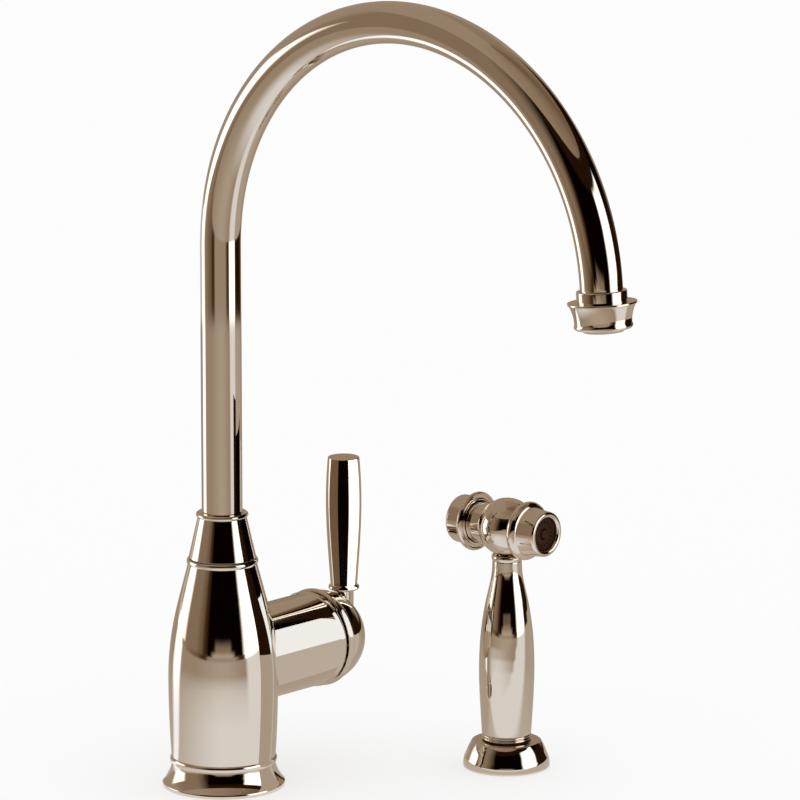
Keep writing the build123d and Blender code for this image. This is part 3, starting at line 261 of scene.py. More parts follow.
def bow(start, end, rise):
    """Corner that is rounded into an arc from start to end, standing out to the right by rise."""
    a, b = Vector(start[:2]), Vector(end[:2])
    chord = b - a
    corner = (a + b) / 2 + Vector((chord.y, -chord.x)).normalized() * rise * ARC_CORNER
    return corner.x, corner.y, (corner - a).length * ALL_BUT


def soften(bm, verts, kind, offset, segments):
    """Round corners of a half section."""
    bmesh.ops.bevel(bm, geom=verts, offset=offset, offset_type=kind, segments=segments, profile=0.5,
                    affect="VERTICES", material=-1, clamp_overlap=False)


def half_section(bm, corners):
    """Add the wire of a half section: (radius, height) corners, with a rounding or FLOW third."""
    verts = [bm.verts.new((corner[0], 0, corner[1])) for corner in corners]
    bm.faces.new(verts)
    marks = [(vert, corner[2]) for vert, corner in zip(verts, corners) if len(corner) > 2]
    flowing = [vert for vert, mark in marks if mark == FLOW]
    if flowing:
        soften(bm, flowing, "PERCENT", 50, 6)
    for vert, rounding in marks:
        if rounding != FLOW:
            segments = max(3, min(20, round(3 + 1.2 * rounding)))
            soften(bm, [vert], "OFFSET", rounding, segments)
    wire = [e for e in bm.edges if len(e.link_faces) == 1]
    faces = list({f for e in wire for f in e.link_faces})
    bmesh.ops.delete(bm, geom=faces, context="FACES_ONLY")
    on_axis = [e for e in wire if all(abs(v.co.x) < 1e-6 for v in e.verts)]
    bmesh.ops.delete(bm, geom=on_axis, context="EDGES")


def spin_up(bm, parts, steps, turn=2 * pi, rise=0, closed=True):
    """Spin parts about local Z, each step higher by rise; a closed spin joins its ends."""
    bmesh.ops.spin(bm, geom=parts, cent=(0, 0, 0), axis=(0, 0, 1), dvec=(0, 0, rise), angle=turn,
                   steps=steps, use_merge=closed, use_duplicate=False)


def close_up(bm):
    """Merge a mesh's doubles, then turn its faces outwards."""
    bmesh.ops.remove_doubles(bm, verts=bm.verts[:], dist=DOUBLE)
    bmesh.ops.recalc_face_normals(bm, faces=bm.faces[:])


def turned(*sections, steps=128):
    """Solids of revolution about local Z, one for each half section."""
    bm = bmesh.new()
    for corners in sections:
        before = set(bm.edges)
        half_section(bm, corners)
        wire = [e for e in bm.edges if e not in before]
        spin_up(bm, [*dict.fromkeys(v for e in wire for v in e.verts), *wire], steps)
    close_up(bm)
    return bm


def verts_in(geom):
    """Vertices of an operator's result."""
    return [part for part in geom if isinstance(part, bmesh.types.BMVert)]


def edges_in(geom):
    """Edges of an operator's result."""
    return [part for part in geom if isinstance(part, bmesh.types.BMEdge)]


def add_to(bm, other, matrix):
    """Move one mesh by a matrix and add it to another."""
    bmesh.ops.transform(other, matrix=matrix, verts=other.verts[:])
    carrier = bpy.data.meshes.new("carrier")
    other.to_mesh(carrier)
    other.free()
    bm.from_mesh(carrier)
    bpy.data.meshes.remove(carrier)


def pierce(bm, holes, ring, radius, depth, height):
    """Sink a ring of round holes into a turned shape's flat band at a height, before it is placed."""
    def off_axis(vert):
        return hypot(vert.co.x, vert.co.y)

    band = [f for f in bm.faces if all(abs(v.co.z - height) < LEVEL for v in f.verts)
            and min(map(off_axis, f.verts)) < ring < max(map(off_axis, f.verts))]
    inwards = -1 if band[0].normal.z > 0 else 1
    groups = {}
    for face in band:
        centre = face.calc_center_median()
        part = atan2(centre.y, centre.x) % (2 * pi) / (2 * pi) * holes
        if abs(part % 1 - 0.5) < HOLE_SHARE:
            groups.setdefault(int(part), []).append(face)
    for part, faces in groups.items():
        hole = bmesh.ops.dissolve_faces(bm, faces=faces, use_verts=False)["region"][0]
        turn = (part + 0.5) / holes * 2 * pi
        centre = Vector((ring * cos(turn), ring * sin(turn), height))
        bmesh.ops.inset_individual(bm, faces=[hole], thickness=HOLE_RIM, use_even_offset=True)
        bmesh.ops.subdivide_edges(bm, edges=hole.edges[:], cuts=1)
        for vert in hole.verts:
            vert.co = centre + (vert.co - centre).normalized() * radius
        floor = bmesh.ops.extrude_discrete_faces(bm, faces=[hole])["faces"][0]
        bmesh.ops.translate(bm, verts=floor.verts[:], vec=(0, 0, inwards * depth))


def settle(bm, name, material, where=Matrix()):
    """Move a mesh made in millimetres to its place in metres, shade it and make its object."""
    bmesh.ops.transform(bm, matrix=Matrix.Scale(1 / MM, 4) @ where, verts=bm.verts[:])
    for face in bm.faces:
        face.smooth = True
    for edge in bm.edges:
        edge.smooth = edge.calc_face_angle(0) < SHARP
    mesh = bpy.data.meshes.new(name)
    bm.to_mesh(mesh)
    bm.free()
    mesh.materials.append(bpy.data.materials[material])
    piece = bpy.data.objects.new(name, mesh)
    bpy.context.scene.collection.objects.link(piece)
    return piece


def claim(piece, node):
    """Let a piece stand for a CAD node: even shading, the node hidden, the piece on the node's body."""
    shading = piece.modifiers.new("even_shading", "WEIGHTED_NORMAL")
    shading.keep_sharp = True
    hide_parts(node)
    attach(piece, BODY_OF[node])


def dress(bm, name, node, where):
    """Finish a piece in a CAD node's place and material."""
    claim(settle(bm, name, MATERIAL_OF[SLOT_OF[node]], where), node)


def thread(context, radius, foot, end):
    """Corners up the outside of a threaded wall, from root to crest and back for every turn."""
    own = in_mm(context.scene.faucet_fixings)
    root = radius - own.thread_depth
    corners = [(root, foot)]
    for turn in range(int((end - foot) / own.thread_pitch)):
        start = foot + turn * own.thread_pitch
        corners += [(radius, start + own.thread_pitch / 2), (root, start + own.thread_pitch)]
    return corners + [(radius, corners[-1][1] + own.thread_depth)]


# ------------------------------------------------------------------ materials
NICKEL = "polished_nickel_plate"
BRASS = "turned_brass_bare"
STEEL = "drawn_stainless_steel"
RUBBER = "moulded_nitrile_rubber"
ACETAL = "moulded_natural_acetal"
CERAMIC = "lapped_alumina_ceramic"
BROWN_PLASTIC = "moulded_brown_abs"
MATERIAL_OF = {"polished_nickel": NICKEL, "turned_brass": BRASS, "steel": STEEL, "black_rubber": RUBBER,
               "white_plastic": ACETAL, "ceramic": CERAMIC, "dark_plastic": BROWN_PLASTIC}
BAND = 0.314                 # metres from band to band of a wave texture whose scale is 1
EVEN = (1, 1, 1)             # stretch of marks that run no way in particular


def add(tree, kind, settings=None, links=None):
    """Add a node with its settings, by socket or property, and the links to its inputs.

    A link comes from an output, or from the first output of a node.
    """
    node = tree.nodes.new("ShaderNode" + kind)
    for name, value in (settings or {}).items():
        if isinstance(name, str) and hasattr(node, name):
            setattr(node, name, value)
        else:
            node.inputs[name].default_value = value
    for name, source in (links or {}).items():
        output = source.outputs[0] if isinstance(source, bpy.types.Node) else source
        tree.links.new(output, node.inputs[name])
    return node


def material_tree(name):
    """Empty node tree of a new material."""
    material = bpy.data.materials.new(name)
    material.use_nodes = True
    material.node_tree.nodes.clear()
    return material.node_tree


def surface_material(name, surface, colour, depth, mottle, marks, repeat, stretch, roughness, relief):
    """Surface whose colour drifts to a deeper one over mottle mm, under fine marks.

    marks is a texture node and its settings, repeated every repeat mm, and a stretch under 1 draws
    them out along that axis. roughness runs from its first to its second value with the marks, and
    relief is their depth in mm.
    """
    kind, settings = marks
    tree = material_tree(name)
    where = add(tree, "TexCoord").outputs["Object"]
    drift = add(tree, "TexNoise", {"Scale": MM / mottle, "Detail": 4.0, "Roughness": 0.55}, {"Vector": where})
    laid = add(tree, "Mapping", {"Scale": stretch}, {"Vector": where})
    scale = BAND * MM / repeat if kind == "TexWave" else MM / repeat
    mark = add(tree, kind, {"Scale": scale, **settings}, {"Vector": laid})
    height = mark.outputs["Fac"] if "Fac" in mark.outputs else mark.outputs["Distance"]
    both = add(tree, "Math", {"operation": "MULTIPLY_ADD", 1: 0.35}, {0: height, 2: drift})
    blend = add(tree, "MapRange", {"From Min": 0.35, "From Max": 0.95, "clamp": True}, {"Value": both})
    deeper = tuple(part * depth for part in colour)
    tone = add(tree, "Mix", {"data_type": "RGBA", 6: (*colour, 1), 7: (*deeper, 1)}, {0: blend}).outputs[2]
    rough = add(tree, "MapRange", {"To Min": roughness[0], "To Max": roughness[1]}, {"Value": height})
    bump = add(tree, "Bump", {"Strength": 1.0, "Distance": relief / MM}, {"Height": height})
    shader = add(tree, "BsdfPrincipled", surface, {"Base Color": tone, "Roughness": rough, "Normal": bump})
    add(tree, "OutputMaterial", {}, {"Surface": shader})


class FAUCET_OT_finishes(bpy.types.Operator):
    """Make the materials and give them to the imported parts"""

    bl_idname = "faucet.finishes"
    bl_label = "Finishes"

    def execute(self, context):
        own = context.scene.faucet_finishes
        # Nickel plate on brass, buffed: a warm mirror, bent a little by the buffing wheel's soft waves.
        surface_material(NICKEL, {"Metallic": 1.0}, own.nickel, depth=0.96, mottle=45.0,
                         marks=("TexNoise", {"Detail": 2.0, "Roughness": 0.4}), repeat=14.0,
                         stretch=(1, 1, 0.8), roughness=(own.polish - 0.01, own.polish + 0.01), relief=0.0004)
        # Free-cutting brass straight off the lathe: yellow, with fine tool rings across its axis.
        rings = {"bands_direction": "Z", "Distortion": 1.5, "Detail": 2.0}
        surface_material(BRASS, {"Metallic": 1.0}, own.brass, depth=0.8, mottle=9.0,
                         marks=("TexWave", rings), repeat=0.6,
                         stretch=EVEN, roughness=(0.16, 0.3), relief=0.004)
        # Stainless steel, drawn: grey, with long dull scratches along the piece.
        surface_material(STEEL, {"Metallic": 1.0}, own.steel, depth=0.85, mottle=6.0,
                         marks=("TexNoise", {"Detail": 4.0, "Roughness": 0.6}), repeat=0.5,
                         stretch=(1, 1, 0.12), roughness=(0.2, 0.36), relief=0.003)
        # Nitrile rubber from a mould: near black and matt, with a faint dusty bloom, so its drift is paler.
        surface_material(RUBBER, {"Specular IOR Level": 0.4}, own.rubber, depth=1.7, mottle=7.0,
                         marks=("TexNoise", {"Detail": 5.0, "Roughness": 0.7}), repeat=0.8,
                         stretch=EVEN, roughness=(0.6, 0.8), relief=0.012)
        # Acetal, moulded: beige and waxy, light goes a little way in.
        surface_material(ACETAL, {"IOR": 1.48, "Subsurface Weight": 0.1, "Subsurface Scale": 0.002},
                         own.acetal, depth=0.92, mottle=12.0,
                         marks=("TexNoise", {"Detail": 3.0, "Roughness": 0.5}), repeat=1.2,
                         stretch=(1, 1, 0.5), roughness=(0.3, 0.42), relief=0.004)
        # Alumina, lapped flat: hard ivory white with a satin gleam and a very fine grain.
        surface_material(CERAMIC, {"IOR": 1.76}, own.ceramic, depth=0.95, mottle=10.0,
                         marks=("TexNoise", {"Detail": 4.0, "Roughness": 0.6}), repeat=0.4,
                         stretch=EVEN, roughness=(0.1, 0.2), relief=0.001)
        # ABS, moulded in a spark-eroded tool: dark brown, a soft sheen broken by a small pebble grain.
        surface_material(BROWN_PLASTIC, {"IOR": 1.54, "Specular IOR Level": 0.06},
                         own.brown_plastic, depth=0.75, mottle=5.0,
                         marks=("TexVoronoi", {"feature": "SMOOTH_F1", "Smoothness": 0.6}), repeat=0.5,
                         stretch=EVEN, roughness=(0.3, 0.46), relief=0.01)
        for name, node in frame["nodes"].items():
            node.data.materials.clear()
            node.data.materials.append(bpy.data.materials[MATERIAL_OF[SLOT_OF[name]]])
        return {"FINISHED"}


# ------------------------------------------------------------------ base, neck and spout
TUBE_BORE = 10.05            # mm, radius of a bore that fits the spout tube
TUBE_SEAT = 8.0              # mm of tube past the arch, inside the ferrule


class FAUCET_OT_base_and_neck(bpy.types.Operator):
    """Turn the base flange, the neck cone and the collar"""

    bl_idname = "faucet.base_and_neck"
    bl_label = "Base and neck"

    def execute(self, context):
        own = in_mm(context.scene.faucet_body)
        top = high("base_flange").z
        bore, edge = own.flange_neck - 2.95, own.flange_radius
        groove, rim, deep = 24.5, 28.4, 2             # for the seal under the flange
        lip, cove, neck = (edge - 0.2, 2.0), (own.flange_neck, own.cove_top), (own.flange_neck, top)
        flange = [(bore, 0), (groove, 0), (groove, deep), (rim, deep), (rim, 0), (edge, 0, 0.5),
                  (edge, 1.2, 0.5), lip, bow(lip, cove, -own.bead_bulge), cove,
                  bow(cove, neck, own.bead_bulge), neck, (bore, top)]
        dress(turned(flange), "base_flange_turned", "base_flange", COLUMN)

        foot, top = levels("neck_cone")
        rounding, spigot, step = own.edge_rounding, 11.05, foot + 7.1
        cone = [(spigot, foot), (own.cone_foot, foot, rounding), (own.cone_top, top, rounding),
                (TUBE_BORE, top), (TUBE_BORE, step), (spigot, step)]
        dress(turned(cone), "neck_cone_turned", "neck_cone", COLUMN)

        foot, top = levels("neck_collar")
        bulge, dip = 0.7, top - 0.3                   # the collar's top falls a little towards the tube
        side = own.collar_radius - bulge
        collar = [(TUBE_BORE, foot), (side, foot), bow((side, foot), (side, top), bulge), (side, top, 0.2),
                  (11.2, dip, 0.2), (TUBE_BORE, dip)]
        dress(turned(collar), "neck_collar_turned", "neck_collar", COLUMN)
        return {"FINISHED"}


def outlet_line(context):
    """End of the tube's arch in millimetres, and the direction in which the water leaves it."""
    own = in_mm(context.scene.faucet_spout)
    lean = pi - context.scene.faucet_spout.arch_turn
    start = high("neck_collar").z + own.rise
    end = Vector((0, -own.arch_radius * (1 + cos(lean)), start + own.arch_radius * sin(lean)))
    return end, Vector((0, -sin(lean), -cos(lean)))


class FAUCET_OT_spout(bpy.types.Operator):
    """Bend the spout tube and give it its wall"""

    bl_idname = "faucet.spout"
    bl_label = "Spout tube"

    def execute(self, context):
        own = in_mm(context.scene.faucet_spout)
        foot = low("spout_tube").z
        start = high("neck_collar").z + own.rise
        bm = bmesh.new()
        bmesh.ops.create_circle(bm, cap_ends=False, radius=own.tube_radius, segments=72,
                                matrix=Matrix.Translation((0, 0, foot)))
        grown = bmesh.ops.extrude_edge_only(bm, edges=bm.edges[:])["geom"]
        ring = verts_in(grown)
        bmesh.ops.translate(bm, verts=ring, vec=(0, 0, start - foot))
        rim = [e for e in edges_in(grown) if all(v in ring for v in e.verts)]
        end = bmesh.ops.spin(bm, geom=ring + rim, cent=(0, -own.arch_radius, start), axis=(1, 0, 0),
                             dvec=(0, 0, 0), angle=context.scene.faucet_spout.arch_turn, steps=132,
                             use_duplicate=False)["geom_last"]
        grown = bmesh.ops.extrude_edge_only(bm, edges=edges_in(end))["geom"]
        bmesh.ops.translate(bm, verts=verts_in(grown), vec=outlet_line(context)[1] * TUBE_SEAT)
        close_up(bm)
        tube = settle(bm, "spout_tube_bent", NICKEL)
        wall = tube.modifiers.new("wall", "SOLIDIFY")
        wall.thickness = own.tube_wall / MM
        wall.offset = -1
        claim(tube, "spout_tube")
        return {"FINISHED"}


class FAUCET_OT_outlet(bpy.types.Operator):
    """Turn the ferrule and the aerator cup, and mould the aerator's nose with its holes"""

    bl_idname = "faucet.outlet"
    bl_label = "Outlet"

    def execute(self, context):
        own = in_mm(context.scene.faucet_spout)
        line = line_up(*outlet_line(context))
        start, shoulder, end = 1.5, 6.8, 12.0         # along the outlet's line, down from the arch
        side, spigot, waterway = own.ferrule_radius, 11.2, 8.5
        stop = TUBE_SEAT + 0.05
        ferrule = [(TUBE_BORE, start), (side, start, 0.7), (side, shoulder), (spigot, shoulder),
                   (spigot, end), (waterway, end), (waterway, stop), (TUBE_BORE, stop)]
        dress(turned(ferrule), "spout_ferrule_turned", "spout_ferrule", line)

        rim, waist, foot = own.cup_rim, own.cup_waist, 19.3
        under_rim, narrow, edge = (rim - 0.7, 8.3), (waist, 16.9), (waist - 0.5, foot)
        bore, seat, ledge, mouth = 11.25, 10.35, 17.7, 9.8
        cup = [(bore, shoulder), (rim, shoulder, 0.35), (rim, 7.9, 0.35), under_rim,
               bow(under_rim, narrow, -0.56), narrow, bow(narrow, edge, 0.6), edge, (mouth, foot, 0.2),
               (mouth, ledge), (seat, ledge), (seat, end + 0.05), (bore, end + 0.05)]
        dress(turned(cup), "aerator_cup_turned", "aerator_housing", line)

        back, plate, knob, lip = 13.7, 20.5, 20.9, 21.1
        nose = [(0, back), (10.3, back), (10.3, ledge), (9.5, ledge), (9.5, lip, 0.8), (8.2, 20.7),
                (7.5, plate), (4.9, plate), (3.4, plate), (2.8, knob, 0.3), (0, knob)]
        bm = turned(nose, steps=96)
        pierce(bm, context.scene.faucet_spout.jet_count, ring=6.2, radius=own.jet_radius, depth=5.5,
               height=plate)
        dress(bm, "aerator_nose_moulded", "aerator_insert", line)
        return {"FINISHED"}


# ------------------------------------------------------------------ lever
class FAUCET_OT_lever(bpy.types.Operator):
    """Turn the bonnet, the lever's stem and its barrel-shaped handle"""

    bl_idname = "faucet.lever"
    bl_label = "Lever"

    def execute(self, context):
        own = in_mm(context.scene.faucet_lever)
        back, shoulder, front = 56.05, 65.05, 71.8    # along the side barrel, from the column's axis
        plug, foot, mouth = 20.45, (own.bonnet_foot, shoulder), (own.bonnet_bore, front)
        bonnet = [(own.bonnet_bore, back), (plug, back), (plug, shoulder), (*foot, 0.3),
                  bow(foot, mouth, 0.45), (*mouth, 0.3)]
        dress(turned(bonnet), "bonnet_turned", "bonnet_nut", BARREL)

        foot, top = levels("lever_stem")
        stem = [(0, foot), (own.stem_radius, foot, 0.4), (own.stem_radius, top, 0.6), (0, top)]
        dress(turned(stem, steps=64), "lever_stem_turned", "lever_stem", STEM)

        foot, top = levels("lever_handle")
        neck, belly = own.neck_radius, own.belly_radius
        # Share of the way from the neck's radius to the belly's, and height over the foot.
        swell = [(0.2, 9.6), (0.46, 17.6), (0.75, 27.6), (0.95, 37.6), (1.0, 46.6), (0.91, 55.6),
                 (0.76, 61.6)]
        side = [(neck + (belly - neck) * part, foot + rise, FLOW) for part, rise in swell]
        bead, over_bead = (own.bead_radius - 1.9, foot), (neck, foot + 3.0)
        socket, floor = 4.95, foot + 7.65             # where the stem sits
        handle = [(socket, foot), bead, bow(bead, over_bead, 1.5), over_bead, *side,
                  (own.top_radius, top, own.top_rounding), (0, top), (0, floor), (socket, floor)]
        dress(turned(handle), "lever_handle_turned", "lever_handle", STEM)
        return {"FINISHED"}


# ------------------------------------------------------------------ side spray
class FAUCET_OT_spray_stand(bpy.types.Operator):
    """Turn the deck holder of the side spray and mould its guide bush"""

    bl_idname = "faucet.spray_stand"
    bl_label = "Spray holder"

    def execute(self, context):
        own = in_mm(context.scene.faucet_spray)
        bottom, top = levels("spray_holder")
        edge, tail, bore = own.holder_radius, 12.2, 10.6
        groove, rim, deep = 14.2, edge - 2, 2         # for the seal under the holder
        seat, ledge = 12.05, top - 1.5                # where the guide bush rests
        belly = (edge - 1.2, 6.4)
        holder = [(bore, bottom), *thread(context, tail, bottom, end=-28.0), (tail, 0), (groove, 0),
                  (groove, deep), (rim, deep), (rim, 0), (edge, 0, 0.4), (edge, 1.0, 0.3),
                  bow((edge - 0.05, 1.1), belly, 0.25), (*belly, FLOW),
                  (edge - own.shoulder_draw * 0.6, 10.4, FLOW), (edge - own.shoulder_draw, top, 0.6),
                  (seat, top, 0.2), (seat, ledge), (bore, ledge)]
        dress(turned(holder), "spray_holder_turned", "spray_holder", SPRAY)

        foot, top = levels("spray_guide_bush")
        bore, side, collar, under = 8.9, 10.55, 12.0, top - 1.7
        bush = [(bore, foot, 0.4), (side, foot, 0.3), (side, under), (collar, under), (collar, top, 0.4),
                (bore, top, 0.5)]
        dress(turned(bush, steps=96), "guide_bush_moulded", "spray_guide_bush", SPRAY)
        return {"FINISHED"}


class FAUCET_OT_spray_grip(bpy.types.Operator):
    """Turn the spray's foot ring, its vase-shaped grip and its neck ring"""

    bl_idname = "faucet.spray_grip"
    bl_label = "Spray grip"

    def execute(self, context):
        own = in_mm(context.scene.faucet_spray)
        bore, socket, bead, neck = 7.05, 5.05, 0.5, own.grip_neck
        foot, top = levels("spray_foot_ring")
        half, side = (foot + top) / 2, own.grip_foot - bead
        ring = [(bore, foot), (side, foot), bow((side, foot), (side, half), bead), (side, half),
                bow((side, half), (side, top), bead), (side, top), (bore, top)]
        dress(turned(ring), "grip_foot_ring_turned", "spray_foot_ring", SPRAY)

        foot, top = levels("spray_handle")
        # Share of the way from the foot's radius to the belly's, and height over the foot.
        wide = [(0.2, 5.1), (0.44, 11.1), (0.69, 17.5), (0.88, 24.0), (1.0, 31.0), (0.99, 37.1), (0.85, 43.4),
                (0.6, 49.2), (0.2, 55.1)]
        # Radius and height over the foot, where the grip draws in to its neck.
        draw = [(11.77, 61.1), (10.9, 66.2), (9.85, 71.0), (8.9, 75.0), (8.05, 79.0), (7.5, 83.0)]
        swell = own.grip_belly - own.grip_foot
        side = [(own.grip_foot + swell * part, foot + rise, FLOW) for part, rise in wide]
        side += [(radius, foot + rise, FLOW) for radius, rise in draw]
        hole, floor, ceiling = 4.0, foot + 10.2, top - 11
        grip = [(bore, foot), (own.grip_foot, foot, 0.3), *side, (neck, foot + 87.5), (neck, top, 0.2),
                (socket, top), (socket, ceiling), (hole, ceiling), (hole, floor), (bore, floor)]
        dress(turned(grip), "grip_turned", "spray_handle", SPRAY)

        foot, top = levels("spray_neck_ring")
        ring = [(socket, foot), (neck, foot), bow((neck, foot), (neck, top), bead), (neck, top),
                (socket, top)]
        dress(turned(ring, steps=96), "grip_neck_ring_turned", "spray_neck_ring", SPRAY)
        return {"FINISHED"}


class FAUCET_OT_spray_head(bpy.types.Operator):
    """Turn the ball-shaped head with its spigot, the bead ring and the nozzle, and mould the jet plate"""

    bl_idname = "faucet.spray_head"
    bl_label = "Spray head"

    def execute(self, context):
        own = in_mm(context.scene.faucet_spray)
        barrel, ball = own.barrel_radius, own.ball_radius
        back, front = forward("spray_head")
        half = (ball * ball - barrel * barrel) ** 0.5 # from the ball's centre to its edges
        corner = ball * ball / barrel                 # where the tangents at these edges meet
        round_ball = (corner, 0, hypot(corner - barrel, half) * ALL_BUT)
        waterway, floor = 7.5, 6.0
        shape = [(0, back), (barrel, back, 0.5), (barrel, -half), round_ball, (barrel, half), (barrel, front),
                 (waterway, front, 0.2), (waterway, floor), (0, floor)]
        bm = turned(shape)
        foot, spigot, groove = low("spray_head").z - HEAD_HEIGHT, 5.0, 3.8
        start, end, inside = foot + 3.0, foot + 4.6, -8.0
        shape = [(0, foot), (spigot, foot, 0.3), (spigot, start, 0.2), (groove, start, 0.2),
                 (groove, end, 0.2), (spigot, end, 0.2), (spigot, inside), (0, inside)]
        add_to(bm, turned(shape, steps=64), HEAD.inverted() @ line_up((SPRAY_X, SPRAY_Y, HEAD_HEIGHT)))
        dress(bm, "spray_head_turned", "spray_head", HEAD)

        bore, joint = 10.45, 12.3                     # of the bead ring and the nozzle, where they meet
        back, front = forward("spray_nozzle_ring")
        start, end = (own.ring_radius - 1.5, back), (own.ring_radius - 1.7, front - 0.45)
        ring = [(bore, back), start, bow(start, end, 1.45), end, (joint, front), (bore, front)]
        dress(turned(ring), "nozzle_bead_turned", "spray_nozzle_ring", HEAD)

        back, front = forward("spray_nozzle")
        mouth, lip, floor = own.mouth_radius, own.nozzle_radius, back + 1.85
        start, end = (joint, back), (lip, front - 1.3)
        nozzle = [(bore, back), start, bow(start, end, -0.15), end, (lip, front, 1.25), (mouth, front, 1.5),
                  (mouth, floor), (bore, floor)]
        dress(turned(nozzle), "nozzle_turned", "spray_nozzle", HEAD)

        back, front = forward("spray_face")
        edge, plate = mouth - 0.1, front - 0.8
        dish, groove = plate - 0.45, plate - 1.2      # floors of the jets' dish and of the knob's groove
        face = [(0, back), (edge, back), (edge, plate, 0.3), (edge - 0.6, plate, 0.2), (edge - 1.0, dish),
                (4.4, dish), (3.7, plate, 0.3), (2.9, plate, 0.2), (2.75, groove), (2.3, groove),
                (2.2, front, 0.5), (0, front)]
        bm = turned(face, steps=126)                  # 7 steps for each of the 18 jets
        pierce(bm, context.scene.faucet_spray.jet_count, ring=5.9, radius=own.jet_radius, depth=1.6,
               height=dish)
        dress(bm, "jet_plate_moulded", "spray_face", HEAD)
        return {"FINISHED"}


class FAUCET_OT_spray_button(bpy.types.Operator):
    """Turn the push button and wind its return spring"""

    bl_idname = "faucet.spray_button"
    bl_label = "Spray button"

    def execute(self, context):
        own = in_mm(context.scene.faucet_spray)
        back, face = forward("spray_button")
        cap, hollow, floor, relief = own.button_radius, 10.8, back + 2.5, face - 0.75
        foot, edge = (cap + 1.5, face - 3.0), (cap + 1.9, face)
        button = [(0, floor), (0, back), (cap - 0.2, back, 2.0), (cap, face - 3.15), foot,
                  bow(foot, edge, 0.9), edge, (cap + 1.2, face, 0.2), (cap + 0.9, relief),
                  (cap - 0.3, relief), (cap - 0.5, face, 0.2), (hollow, face), (hollow, floor)]
        dress(turned(button), "button_turned", "spray_button", HEAD)

        back, front = forward("spray_return_spring")
        wire = in_mm(context.scene.faucet_fixings).spring_wire
        turns = context.scene.faucet_fixings.spring_turns
        reach = sideways("spray_return_spring") - wire / 2
        steps = round(40 * turns)
        bm = bmesh.new()
        across = Matrix.Translation((reach, 0, back + wire / 2)) @ Matrix.Rotation(pi / 2, 4, "X")
        bmesh.ops.create_circle(bm, cap_ends=True, radius=wire / 2, segments=12, matrix=across)
        spin_up(bm, bm.verts[:] + bm.edges[:] + bm.faces[:], steps, 2 * pi * turns,
                (front - back - wire) / steps, closed=False)
        bmesh.ops.recalc_face_normals(bm, faces=bm.faces[:])
        dress(bm, "return_spring_wound", "spray_return_spring", HEAD)
        return {"FINISHED"}


# ------------------------------------------------------------------ fixings and seals
def washer(inner, outer, foot, top, rounding):
    """Half section of a flat ring with rounded edges."""
    return [(inner, foot, rounding), (outer, foot, rounding), (outer, top, rounding), (inner, top, rounding)]


def dress_washers(rounding, *rings):
    """Turn flat rings in their CAD nodes' places, each from its node, name, bore and line."""
    for node, name, bore, line in rings:
        reach = (high(node).x - low(node).x) / 2
        dress(turned(washer(bore, reach, *levels(node), rounding)), name, node, line)


def round_ring(inner, outer, centre):
    """Half section of an O-ring."""
    half = (outer - inner) / 2
    rounding = half * 0.995                           # all but a full half circle
    return [(inner, centre - half, rounding), (outer, centre - half, rounding),
            (outer, centre + half, rounding), (inner, centre + half, rounding)]


def milled_nut(bore, flats, foot, top, chamfer, first):
    """Hexagon nut: turned with chamfered corners, then cut flat on six sides from the angle first."""
    corner, narrow = flats / 2 / cos(pi / 6), flats / 2 - 0.3
    drop = (corner - narrow) * 0.55                   # of the chamfer, which lies at about 30 degrees
    bm = turned([(bore + chamfer, foot), (narrow, foot), (corner, foot + drop), (corner, top - drop),
                 (narrow, top), (bore + chamfer, top), (bore, top - chamfer), (bore, foot + chamfer)],
                steps=96)
    for side in range(6):
        turn = first + side * pi / 3
        across = Vector((cos(turn), sin(turn), 0))
        cut = bmesh.ops.bisect_plane(bm, geom=bm.verts[:] + bm.edges[:] + bm.faces[:], dist=0.0001,
                                     plane_co=across * flats / 2, plane_no=across, clear_outer=True)
        bmesh.ops.contextual_create(bm, geom=edges_in(cut["geom_cut"]))
    bmesh.ops.recalc_face_normals(bm, faces=bm.faces[:])
    return bm


class FAUCET_OT_fixings(bpy.types.Operator):
    """Cut the threads, mill the nuts and turn the washers under the worktop"""

    bl_idname = "faucet.fixings"
    bl_label = "Fixings"

    def execute(self, context):
        own = in_mm(context.scene.faucet_fixings)
        foot, top = levels("mounting_shank")
        bore, side = 13.5, 16.0
        shank = [(bore, foot, 0.3), *thread(context, side, foot, end=-29.0), (side, top - 9.8), (15.8, top),
                 (bore, top)]
        dress(turned(shank), "shank_threaded", "mounting_shank", COLUMN)

        for node, name, bore, line in (("fixing_nut", "fixing_nut_milled", 16.05, COLUMN),
                                       ("spray_holder_nut", "holder_nut_milled", 12.25, SPRAY)):
            wide = high(node) - low(node)
            first = pi / 6 if wide.x > wide.y else 0
            bm = milled_nut(bore, min(wide.x, wide.y), *levels(node), own.nut_chamfer, first)
            dress(bm, name, node, line)
        dress_washers(own.washer_rounding, ("fixing_rubber_washer", "rubber_washer_cut", 16.3, COLUMN),
                      ("fixing_steel_washer", "steel_washer_pressed", 16.3, COLUMN),
                      ("spray_holder_washer", "holder_washer_cut", 12.5, SPRAY))

        foot, top = levels("spray_outlet_nipple")
        bore, side, pipe, seat, shoulder = 2.5, 4.8, 4.0, 4.25, 13
        nipple = [(bore, foot, 0.3), *thread(context, side, foot, end=-61.0), (side, -60), (pipe, -59.2),
                  (pipe, shoulder), (seat, shoulder), (seat, top), (bore, top)]
        dress(turned(nipple, steps=64), "outlet_nipple_threaded", "spray_outlet_nipple", PORT)

        foot, top = levels("spray_hose_tail")
        bore, side, flange, neck, under, over = 3.5, 6.6, 8.6, 7.0, -18, top - 13
        tail = [(bore, foot, 0.3), *thread(context, side, foot, end=-19.0), (side, under),
                (flange, under, 0.4), (flange, over, 0.3), (neck, over), (neck, top, 0.4), (bore, top)]
        dress(turned(tail, steps=96), "hose_tail_threaded", "spray_hose_tail", SPRAY)
        return {"FINISHED"}


